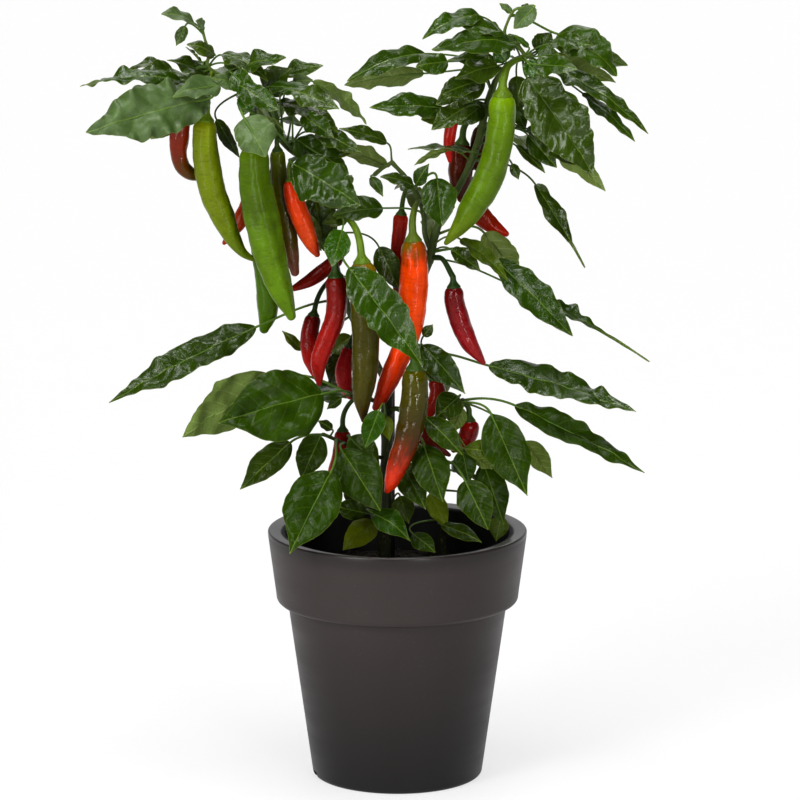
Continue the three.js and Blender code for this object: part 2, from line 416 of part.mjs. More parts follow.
// The surface of a leaf blade: a function of t along it and v across it, from -1 to 1. A blade
// bows upwards by a share of its length where its arch isn't given.
const BOW_SHARE = 0.05;
function bladeSurface([, , base, tip, width, face, , special]) {
  const start = sight(base);
  const chord = sight(tip).sub(start);
  const { arch = BOW_SHARE * chord.length(), twist = 0, wave = 0.8, fold = 0.16 } = special;
  const along = chord.clone().normalize();
  const faceTurn = THREE.MathUtils.degToRad(face);
  const up = new THREE.Vector3(0, -Math.cos(faceTurn), Math.sin(faceTurn));
  up.addScaledVector(along, -up.dot(along)).normalize();
  const across = along.clone().cross(up);
  const midrib = (t) => start.clone().addScaledVector(chord, t)
    .addScaledVector(up, arch * 4 * t * (1 - t));
  const place = (t, v, offset) => {
    const turn = THREE.MathUtils.degToRad(twist * (t - 0.5));
    const [cosine, sine] = [Math.cos(turn), Math.sin(turn)];
    const outward = across.clone().multiplyScalar(cosine).addScaledVector(up, -sine);
    const upward = up.clone().multiplyScalar(cosine).addScaledVector(across, sine);
    const outline = bladeOutline(t);
    const half = width / 2 * outline;
    const ripple = Math.sin(2 * Math.PI * 2.2 * t + (v < 0 ? 2 : 0));
    const lift = fold * Math.abs(v) * half + wave * v * v * outline * ripple;
    return midrib(t).addScaledVector(outward, v * half).addScaledVector(upward, lift + offset);
  };
  return { start, chord, up, across, arch, place };
}

// Where a blade is divided along its length, for blades up to each length.
const BLADE_STATIONS = [
  [18, [0.42]],
  [58, [0.25, 0.7]],
  [200, [0.17, 0.46, 0.8]],
];
const SHORT_PETIOLE = 20;
const STALK_STEPS = 2;

// The middle line of a leaf's stalk, from inside its stem to the base of the blade.
function petioleCurve(leaf, surface) {
  const foot = stemPoint(leaf[0], leaf[1]);
  const reach = surface.start.distanceTo(foot);
  const heading = surface.chord.clone().addScaledVector(surface.up, 4 * surface.arch).normalize();
  const rise = foot.clone().lerp(surface.start, 0.35);
  rise.z += 0.12 * reach;
  const arrive = surface.start.clone().addScaledVector(heading, -0.35 * reach);
  return new THREE.CubicBezierCurve3(foot, rise, arrive, surface.start);
}

// Three corners round a leaf's stalk, the third on top, counted as the blade's rings are.
function stalkRing(point, along, side, radius) {
  const top = side.clone().cross(along);
  return [[1, -0.5], [-1, -0.5], [0, 1]].map(([sideways, upwards]) => point.clone()
    .addScaledVector(side, sideways * radius)
    .addScaledVector(top, upwards * radius));
}

// A leaf in one closed skin: a three-sided stalk that opens into a thin blade, with the same
// triangles on both faces of the blade and a narrow wall round its edge.
function leafSolid(leaf) {
  const surface = bladeSurface(leaf);
  const length = surface.chord.length();
  const stations = BLADE_STATIONS.find(([longest]) => length <= longest)[1];
  const half = BLADE_THICKNESS / 2;
  const radius = leaf[4] > 20 ? 1.1 : 0.85;
  const positions = [];
  const faces = [];
  const add = (point) => {
    positions.push(...point.toArray());
    return positions.length / 3 - 1;
  };

  const petiole = petioleCurve(leaf, surface);
  const steps = petiole.v0.distanceTo(petiole.v3) < SHORT_PETIOLE ? 1 : 2;
  const stalk = petiole.getPoints(steps);
  const side = surface.across.clone();
  const stalkRings = [];
  for (let i = steps; i >= 0; i -= 1) {
    const along = stalk[Math.min(i + 1, steps)].clone().sub(stalk[Math.max(i - 1, 0)]);
    along.normalize();
    side.addScaledVector(along, -side.dot(along)).normalize();
    stalkRings.unshift(stalkRing(stalk[i], along, side, radius).map(add));
  }
  const bladeRings = stations.map((t) => [
    ...[1, 0, -1].map((v) => add(surface.place(t, v, -half))),
    ...[-1, 0, 1].map((v) => add(surface.place(t, v, half))),
  ]);
  const tipUnder = add(surface.place(1, 0, -half));
  const tipUpper = add(surface.place(1, 0, half));

  faces.push(stalkRings[0][0], stalkRings[0][2], stalkRings[0][1]);
  for (let i = 0; i < steps; i += 1) {
    faces.push(...skinBetween(stalkRings[i], stalkRings[i + 1]));
  }
  const [right, left, top] = stalkRings[steps];
  const f = bladeRings[0];
  faces.push(right, left, f[1], right, f[1], f[0], left, f[2], f[1], left, f[3], f[2]);
  faces.push(left, top, f[4], left, f[4], f[3], top, right, f[4]);
  faces.push(right, f[5], f[4], right, f[0], f[5]);
  for (let i = 0; i + 1 < bladeRings.length; i += 1) {
    const a = bladeRings[i];
    const b = bladeRings[i + 1];
    for (const k of [0, 3]) {
      const wall = (k + 3) % 6;
      faces.push(a[k], a[k + 1], b[k + 1], a[k], b[k + 1], b[k]);
      faces.push(a[k + 1], a[k + 2], b[k + 1], a[k + 2], b[k + 2], b[k + 1]);
      faces.push(a[k + 2], a[wall], b[wall], a[k + 2], b[wall], b[k + 2]);
    }
  }
  const e = bladeRings[bladeRings.length - 1];
  faces.push(e[0], e[1], tipUnder, e[1], e[2], tipUnder, e[3], e[4], tipUpper, e[4], e[5], tipUpper);
  faces.push(e[2], e[3], tipUpper, e[2], tipUpper, tipUnder);
  faces.push(e[5], e[0], tipUnder, e[5], tipUnder, tipUpper);
  return solidOf(meshOf(positions, faces));
}

function podCurve(line) {
  return smoothCurve(line.map(sight));
}

// The cap of a pod and the stalk that holds it, from the stem down to just above the shoulder.
function capAndStalk([, , stem, place, way, line]) {
  const shoulder = sight(line[0]);
  const radius = line[0][3];
  const axis = podCurve(line).getTangent(0);
  const capTop = shoulder.clone().addScaledVector(axis, -1.25 * radius);
  const foot = stemPoint(stem, place);
  let curve;
  if (way.length > 0) {
    curve = smoothCurve([foot, ...way.map(sight), capTop]);
  } else {
    const reach = capTop.distanceTo(foot);
    const leave = foot.clone().lerp(capTop, 0.25);
    leave.z += 0.2 * reach;
    const arrive = capTop.clone().addScaledVector(axis, -0.45 * reach);
    curve = new THREE.CubicBezierCurve3(foot, leave, arrive, capTop);
  }
  const steps = STALK_STEPS + way.length;
  const points = curve.getPoints(steps);
  const radii = points.map((point, i) => 1.3 + (0.34 * radius - 1.3) * i / steps);
  for (const [height, wide] of [[-0.6, 0.62], [0, 0.92]]) {
    points.push(shoulder.clone().addScaledVector(axis, height * radius - GAP));
    radii.push(wide * radius);
  }
  return solidOf(bar(points, radii, 5));
}

// A pod: a round bar with a full shoulder and a drawn-in tip.
function pod([, , , , , line]) {
  const curve = podCurve(line);
  const steps = line.length - 1;
  const sides = line[1][3] > 7 ? 7 : 6;
  const points = [];
  const radii = [];
  for (let i = 0; i <= steps; i += 1) {
    points.push(curve.getPoint(i / steps));
    radii.push(line[i][3]);
  }
  const end = curve.getTangent(1);
  points.push(points[steps].clone().addScaledVector(end, 0.8 * radii[steps]));
  radii.push(0.35 * radii[steps]);
  return bar(points, radii, sides);
}

// Solids for joining and cutting
function solidOf(geometry) {
  const plain = geometry.clone();
  plain.deleteAttribute("normal");
  plain.deleteAttribute("uv");
  const merged = mergeVertices(plain, 1e-4);
  const mesh = new wasm.Mesh({
    numProp: 3,
    vertProperties: new Float32Array(merged.attributes.position.array),
    triVerts: new Uint32Array(merged.index.array),
  });
  mesh.merge();
  return new wasm.Manifold(mesh);
}

function geometryOf(solid) {
  const mesh = solid.getMesh();
  return meshOf(Array.from(mesh.vertProperties), Array.from(mesh.triVerts));
}

function join(solids) {
  return solids.reduce((whole, piece) => whole.add(piece));
}

// A stem as a solid, thicker by extra all round and longer by it at the far end.
function stemSolid(name, extra) {
  const { radius: [startRadius, endRadius], points } = STEMS[name];
  const curve = stemCurve(name);
  const steps = points.length > 4 ? points.length - 1 : 2 * (points.length - 1);
  const middle = curve.getPoints(steps);
  const radii = middle.map((point, i) => startRadius + (endRadius - startRadius) * i / steps + extra);
  if (extra > 0) {
    middle.push(middle[steps].clone().addScaledVector(curve.getTangent(1), extra));
    radii.push(radii[steps]);
  }
  return solidOf(bar(middle, radii, startRadius > 4 ? 7 : 5));
}

function growingStem(name) {
  return STEMS[name].after.reduce(
    (stem, parent) => stem.subtract(stemSolid(parent, GAP)), stemSolid(name, 0));
}

// A leafy stem: its stems, with their leaves, stalks and pod caps, joined in one body.
function leafyStem(node) {
  const names = Object.keys(STEMS).filter((name) => STEMS[name].node === node);
  const solids = names.map(growingStem);
  for (const leaf of LEAVES.filter(([stem]) => names.includes(stem))) {
    solids.push(leafSolid(leaf));
  }
  for (const row of PODS.filter(([, , stem]) => names.includes(stem))) {
    solids.push(capAndStalk(row));
  }
  return geometryOf(join(solids));
}

function lathe(profile) {
  const points = profile.map(([radius, z]) => new THREE.Vector2(radius, z));
  const geometry = new THREE.LatheGeometry(points, POT_SEGMENTS);
  geometry.rotateX(Math.PI / 2);
  return geometry;
}

function quarterRound(centreRadius, centreZ, radius, startTurn, endTurn, steps) {
  const points = [];
  for (let i = 0; i <= steps; i += 1) {
    const turn = startTurn + (endTurn - startTurn) * i / steps;
    points.push([centreRadius + radius * Math.cos(turn), centreZ + radius * Math.sin(turn)]);
  }
  return points;
}

function uprightCylinder(radius, lowZ, highZ, x, y) {
  const geometry = new THREE.CylinderGeometry(radius, radius, highZ - lowZ, 10);
  geometry.rotateX(Math.PI / 2);
  geometry.translate(x, y, (lowZ + highZ) / 2);
  return solidOf(geometry);
}

// The pot in section: a pad and a foot ring to stand on, a tapering wall, and a rim turned over
// into a hanging band.
function potShell() {
  const floorZ = FOOT_RING_HEIGHT + FLOOR_THICKNESS;
  const ringInner = BODY_FOOT_RADIUS - FOOT_ROUNDING - FOOT_RING_WIDTH;
  const bodyTopZ = POT_HEIGHT - BAND_WALL;
  const profile = [
    [0, 0],
    [CENTRE_PAD_RADIUS, 0],
    [CENTRE_PAD_RADIUS + 1, FOOT_RING_HEIGHT],
    [ringInner, FOOT_RING_HEIGHT],
    [ringInner, 0],
    ...quarterRound(BODY_FOOT_RADIUS - FOOT_ROUNDING, FOOT_ROUNDING, FOOT_ROUNDING, -Math.PI / 2, 0, 3),
    [BODY_TOP_RADIUS, BAND_FOOT_Z],
    [MOUTH_RADIUS + BODY_WALL, bodyTopZ],
    [RIM_RADIUS - 2 * BAND_WALL, bodyTopZ],
    [BAND_FOOT_RADIUS - BAND_WALL, BAND_FOOT_Z + 6],
    [BAND_LIP_RADIUS, BAND_FOOT_Z + 3],
    [BAND_LIP_RADIUS + 0.6, BAND_FOOT_Z],
    ...quarterRound(BAND_FOOT_RADIUS + 0.5 - BAND_ROUNDING, BAND_FOOT_Z + BAND_ROUNDING,
      BAND_ROUNDING, -Math.PI / 2, 0, 2),
    [RIM_RADIUS, POT_HEIGHT - 2.4],
    [RIM_RADIUS - 1, POT_HEIGHT - 0.6],
    [RIM_RADIUS - 3, POT_HEIGHT],
    [MOUTH_RADIUS + 1.4, POT_HEIGHT - 0.5],
    [MOUTH_RADIUS, POT_HEIGHT - 2],
    [BODY_TOP_RADIUS - BODY_WALL, BAND_FOOT_Z],
    [BODY_FOOT_RADIUS - BODY_WALL + 0.6, floorZ + 4],
    [BODY_FOOT_RADIUS - BODY_WALL - 3, floorZ],
    [CENTRE_PAD_RADIUS - 1, floorZ],
    [CENTRE_PAD_RADIUS - 2, FLOOR_THICKNESS],
    [0, FLOOR_THICKNESS],
  ];
  return solidOf(lathe(profile));
}

function pot() {
  let shell = potShell();
  const notchDepth = 2 * (FOOT_ROUNDING + FOOT_RING_WIDTH);
  for (let i = 0; i < NOTCH_COUNT; i += 1) {
    const box = new THREE.BoxGeometry(notchDepth, NOTCH_WIDTH, 2 * FOOT_RING_HEIGHT);
    box.translate(BODY_FOOT_RADIUS - FOOT_ROUNDING, 0, 0);
    box.rotateZ(NOTCH_TURN + 2 * Math.PI * i / NOTCH_COUNT);
    shell = shell.subtract(solidOf(box));
  }
  const holeTop = 2 * FOOT_RING_HEIGHT + FLOOR_THICKNESS;
  for (let i = 0; i < DRAIN_HOLE_COUNT; i += 1) {
    const turn = 2 * Math.PI * i / DRAIN_HOLE_COUNT;
    const x = DRAIN_CIRCLE_RADIUS * Math.cos(turn);
    const y = DRAIN_CIRCLE_RADIUS * Math.sin(turn);
    shell = shell.subtract(uprightCylinder(DRAIN_HOLE_RADIUS, 0, holeTop, x, y));
  }
  return geometryOf(shell);
}

// The stake: a thin straight rod that leans back a little behind the main stem.
const STAKE_RADIUS = 2.5;
const STAKE_FOOT = [-4.4, 112, 7.5];
const STAKE_TOP = [-4.4, 318, 17];
function stakeSolid(extra) {
  const points = [sight(STAKE_FOOT), sight(STAKE_TOP)];
  return solidOf(bar(points, points.map(() => STAKE_RADIUS + extra), 10));
}

// The soil fills the pot and has a plain hole for each stem and for the stake.
function soil() {
  const floorZ = FOOT_RING_HEIGHT + FLOOR_THICKNESS + GAP;
  const wallGap = GAP + BODY_WALL;
  const wallSlope = (MOUTH_RADIUS - BODY_TOP_RADIUS + BODY_WALL) / (POT_HEIGHT - 2 - BAND_FOOT_Z);
  const topRadius = BODY_TOP_RADIUS - wallGap + wallSlope * (SOIL_TOP_Z - BAND_FOOT_Z) - 0.4;
  const profile = [
    [0, FLOOR_THICKNESS + GAP],
    [CENTRE_PAD_RADIUS - 2.4, FLOOR_THICKNESS + GAP],
    [CENTRE_PAD_RADIUS - 1.4, floorZ],
    [BODY_FOOT_RADIUS - wallGap - 3.4, floorZ],
    [BODY_FOOT_RADIUS - wallGap, floorZ + 4.2],
    [BODY_TOP_RADIUS - wallGap - 0.4, BAND_FOOT_Z],
    [topRadius, SOIL_TOP_Z - 2],
    [topRadius * 0.62, SOIL_TOP_Z],
    [topRadius * 0.3, SOIL_TOP_Z + SOIL_MOUND],
    [0, SOIL_TOP_Z + SOIL_MOUND],
  ];
  const holes = [stemSolid("trunk", HOLE_GAP), stemSolid("second", HOLE_GAP), stakeSolid(HOLE_GAP)];
  const feet = [STEMS.trunk.points[0], STEMS.second.points[0], STAKE_FOOT].map((place, i) => {
    const [x, y] = sight(place).toArray();
    return uprightCylinder([6.3, 5.5, 3][i], HOLE_FLOOR_Z, HOLE_FLOOR_Z + 8, x, y);
  });
  const body = solidOf(lathe(profile));
  return geometryOf([...holes, ...feet].reduce((rest, hole) => rest.subtract(hole), body));
}

function piece(name, geometry, colour, roughness) {
  geometry.computeVertexNormals();
  const material = new THREE.MeshStandardMaterial({ color: colour, roughness, metalness: 0 });
  const mesh = new THREE.Mesh(geometry, material);
  mesh.name = name;
  return mesh;
}

const plant = new THREE.Group();
plant.add(piece("pot", pot(), 0x3f3a39, 0.62));
plant.add(piece("soil", soil(), 0x241d18, 0.95));
plant.add(piece("stake", geometryOf(stakeSolid(0)), 0x16181a, 0.25));
for (const node of [...new Set(Object.values(STEMS).map((stem) => stem.node))]) {
  const [colour, roughness] = node === "main_stem" || node === "second_stem" ? STEM_BROWN : LEAF_GREEN;
  plant.add(piece(node, leafyStem(node), colour, roughness));
}
for (const row of PODS) {
  plant.add(piece(row[0], pod(row), POD_COLOURS[row[1]], 0.3));
}

export default plant;
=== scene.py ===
# A potted chilli pepper plant: a round plastic pot with a turned-over rim, potting soil, two woody
# stems with their leafy branches, a thin support stake, and long pods that hang from green caps.
# Lengths are in millimetres unless a comment says metres. +Z is up, and the viewer is on the -Y side.

import math

import bpy
import numpy as np
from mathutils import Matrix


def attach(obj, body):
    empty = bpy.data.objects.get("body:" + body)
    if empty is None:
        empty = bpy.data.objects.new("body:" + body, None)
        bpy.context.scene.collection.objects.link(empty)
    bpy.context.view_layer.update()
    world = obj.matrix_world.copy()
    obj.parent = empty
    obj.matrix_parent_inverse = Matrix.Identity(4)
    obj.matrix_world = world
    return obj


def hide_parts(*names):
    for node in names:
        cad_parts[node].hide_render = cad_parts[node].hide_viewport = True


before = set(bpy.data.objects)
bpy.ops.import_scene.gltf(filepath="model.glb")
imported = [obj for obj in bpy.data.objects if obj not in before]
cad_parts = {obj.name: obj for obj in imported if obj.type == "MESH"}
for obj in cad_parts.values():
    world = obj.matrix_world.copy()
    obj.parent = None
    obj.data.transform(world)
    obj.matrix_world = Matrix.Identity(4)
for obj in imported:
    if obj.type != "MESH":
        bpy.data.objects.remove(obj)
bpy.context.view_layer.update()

MM = 0.001
FULL_TURN = 2 * math.pi

# Pot
NOTCH_COUNT = 2
NOTCH_WIDTH = 9
NOTCH_HEIGHT = 5
NOTCH_TURN = 0.26
NOTCH_REACH = (48, 72)
DRAIN_HOLE_COUNT = 4
DRAIN_HOLE_RADIUS = 5
DRAIN_HOLE_HEIGHTS = (1, 12)
DRAIN_HOLE_SIDES = 32
DRAIN_CIRCLE_RADIUS = 38
POT_SIDES = 160

# Reaches and heights on the pot, in metres, between which its look changes, and the colour of the
# painted shade on it
MOUTH_EDGE = (0.0885, 0.0908)
INSIDE_SHADE_FROM = (0.139, 0.141)
PAINTED_FOOT_SHADE = (-0.01, 0.17)
PAINTED_RIM_SHADE = (0.178, 0.1915)
RIM_TOP = (0.1900, 0.1915)
PAINTED_POT_SHADE = 0x0d0b0a

# Two pin holes in the flat top of the rim
RIM_DOTS = [(88.5, -7), (-88.7, -9)]
RIM_DOT_RADIUS = 0.9
RIM_DOT_HEIGHTS = (192, 197)
RIM_DOT_SIDES = 16

# Soil: its mound, the share of its radius that is lumpy, and its loose crumbs
SOIL_TOP_Z = 158
SOIL_MOUND = 3
SOIL_DEPTH = 30
SOIL_RADIUS = 83.2
SOIL_RINGS = 70
SOIL_SIDES = 150
LUMPY_SHARE = 0.93
CRUMB_COUNT = 260
CRUMB_SIZES = (1.0, 3.4)
CRUMB_RINGS = 6
CRUMB_SIDES = 9

STAKE_RADIUS = 2.5
STAKE_RINGS = 20
STAKE_SIDES = 32
STAKE_FOOT = [-4.4, 112, 7.5]
STAKE_TOP = [-4.4, 318, 17]

# The eye stands EYE_DISTANCE in front of the pot's axis and EYE_HEIGHT above the floor, and looks
# down by EYE_PITCH, in radians. Places on the plant are given as [across, up, depth]: a point of the
# upright plane through the pot's axis, moved along the line of sight by depth, away from the eye if
# positive.
EYE_DISTANCE = 3500
EYE_HEIGHT = 1001
EYE_ACROSS = 2
EYE_PITCH = 0.199
EYE_LENS = 209.6
EYE_SENSOR = 36
VIEW_GAMMA = 0.86

# Brightness of the dim room and of the pale wall behind the plant, and where in the sky the wall
# ends upwards and starts backwards
ROOM_LIGHT = 0.05
BACK_LIGHT = 0.8
BACK_RISE = (0.12, 0.38)
BACK_DEPTH = (-0.3, 0.4)

# Soft lights: degrees to the right of the eye, degrees above the floor, degrees from middle to
# edge, strength
SOFT_LIGHTS = [(0, 80, 14, 12.4), (-40, 38, 9, 10.7), (180, 45, 25, 2.0)]

# Light panels that stand on the floor: degrees to the right of the eye, metres from the plant,
# metres wide and tall, strength. Their lower edge is this many metres above it.
LIGHT_PANELS = [(-37, 2.2, 0.60, 1.8, 9.0), (22, 2.1, 0.14, 1.6, 26.0)]
PANEL_FOOT = 0.02

# The floor glows like a light table, which keeps the plant's shadow soft. It reaches this many
# metres from the middle.
FLOOR_GLOW = 0.74
FLOOR_REACH = 60.0

# Stems: the node each one belongs to, its radius at both ends, and the points it passes through.
STEMS = {
  "trunk": {"node": "main_stem", "radius": [5.8, 3.0],
    "points": [[-10.5, 112, 0], [-10.5, 160, 0], [-9, 205, 0], [-8, 262, 0], [-7, 300, 0],
      [4, 345, 4], [16, 382, 8], [24, 402, 6]]},
  "left": {"node": "left_branch", "radius": [2.8, 2.1],
    "points": [[-6, 303, 1], [-18, 328, 16], [-32, 355, 22], [-44, 385, 22], [-48, 415, 20],
      [-50, 445, 18], [-62, 474, 14], [-82, 490, 10], [-96, 506, 6]]},
  "crown_left": {"node": "left_crown", "radius": [2.1, 0.8],
    "points": [[-96, 506, 6], [-112, 526, 2], [-128, 541, -4], [-143, 552, -8], [-142, 562, -8],
      [-145, 572, -8], [-147, 580, -8]]},
  "right": {"node": "right_branch", "radius": [2.9, 2.3],
    "points": [[24, 402, 6], [30, 428, 2], [42, 451, -2], [54, 475, -4], [62, 497, -2],
      [67, 520, 0], [74, 541, -2]]},
  "crown_right": {"node": "right_crown", "radius": [2.3, 1.9],
    "points": [[74, 541, -2], [86, 555, -4], [100, 561, -6]]},
  "top_right": {"node": "right_crown", "radius": [1.6, 0.8],
    "points": [[97, 560, -6], [90, 569, -4], [81, 576, -6], [84, 588, -8], [88, 595, -8]]},
  "upper": {"node": "upper_branch", "radius": [2.2, 1.5],
    "points": [[26, 410, 5], [21, 424, 9], [20, 440, 7], [14, 456, 3], [5, 469, 0], [-4, 479, -2]]},
  "upper_left": {"node": "upper_branch", "radius": [1.6, 1.4],
    "points": [[-4, 479, -2], [-11, 475, -4], [-17, 470, -6]]},
  "mid_left": {"node": "mid_left_shoot", "radius": [1.6, 1.3],
    "points": [[-7, 290, 0], [-19, 295, -6], [-37, 299, -12]]},
  "mid_right": {"node": "mid_right_shoot", "radius": [1.4, 1.2],
    "points": [[1, 333, 2], [13, 333, 0], [26, 331, -8]]},
  "lower_left": {"node": "lower_left_shoot", "radius": [1.5, 1.1],
    "points": [[-8, 249, 0], [-20, 252, -8], [-36, 259, -14], [-47, 264, -17], [-56, 268, -20]]},
  "second": {"node": "second_stem", "radius": [5.0, 1.5],
    "points": [[36, 112, 12], [36, 160, 12], [34, 200, 8], [31, 240, 2], [32, 272, -2],
      [40, 288, -6], [50, 295, -8]]},
}

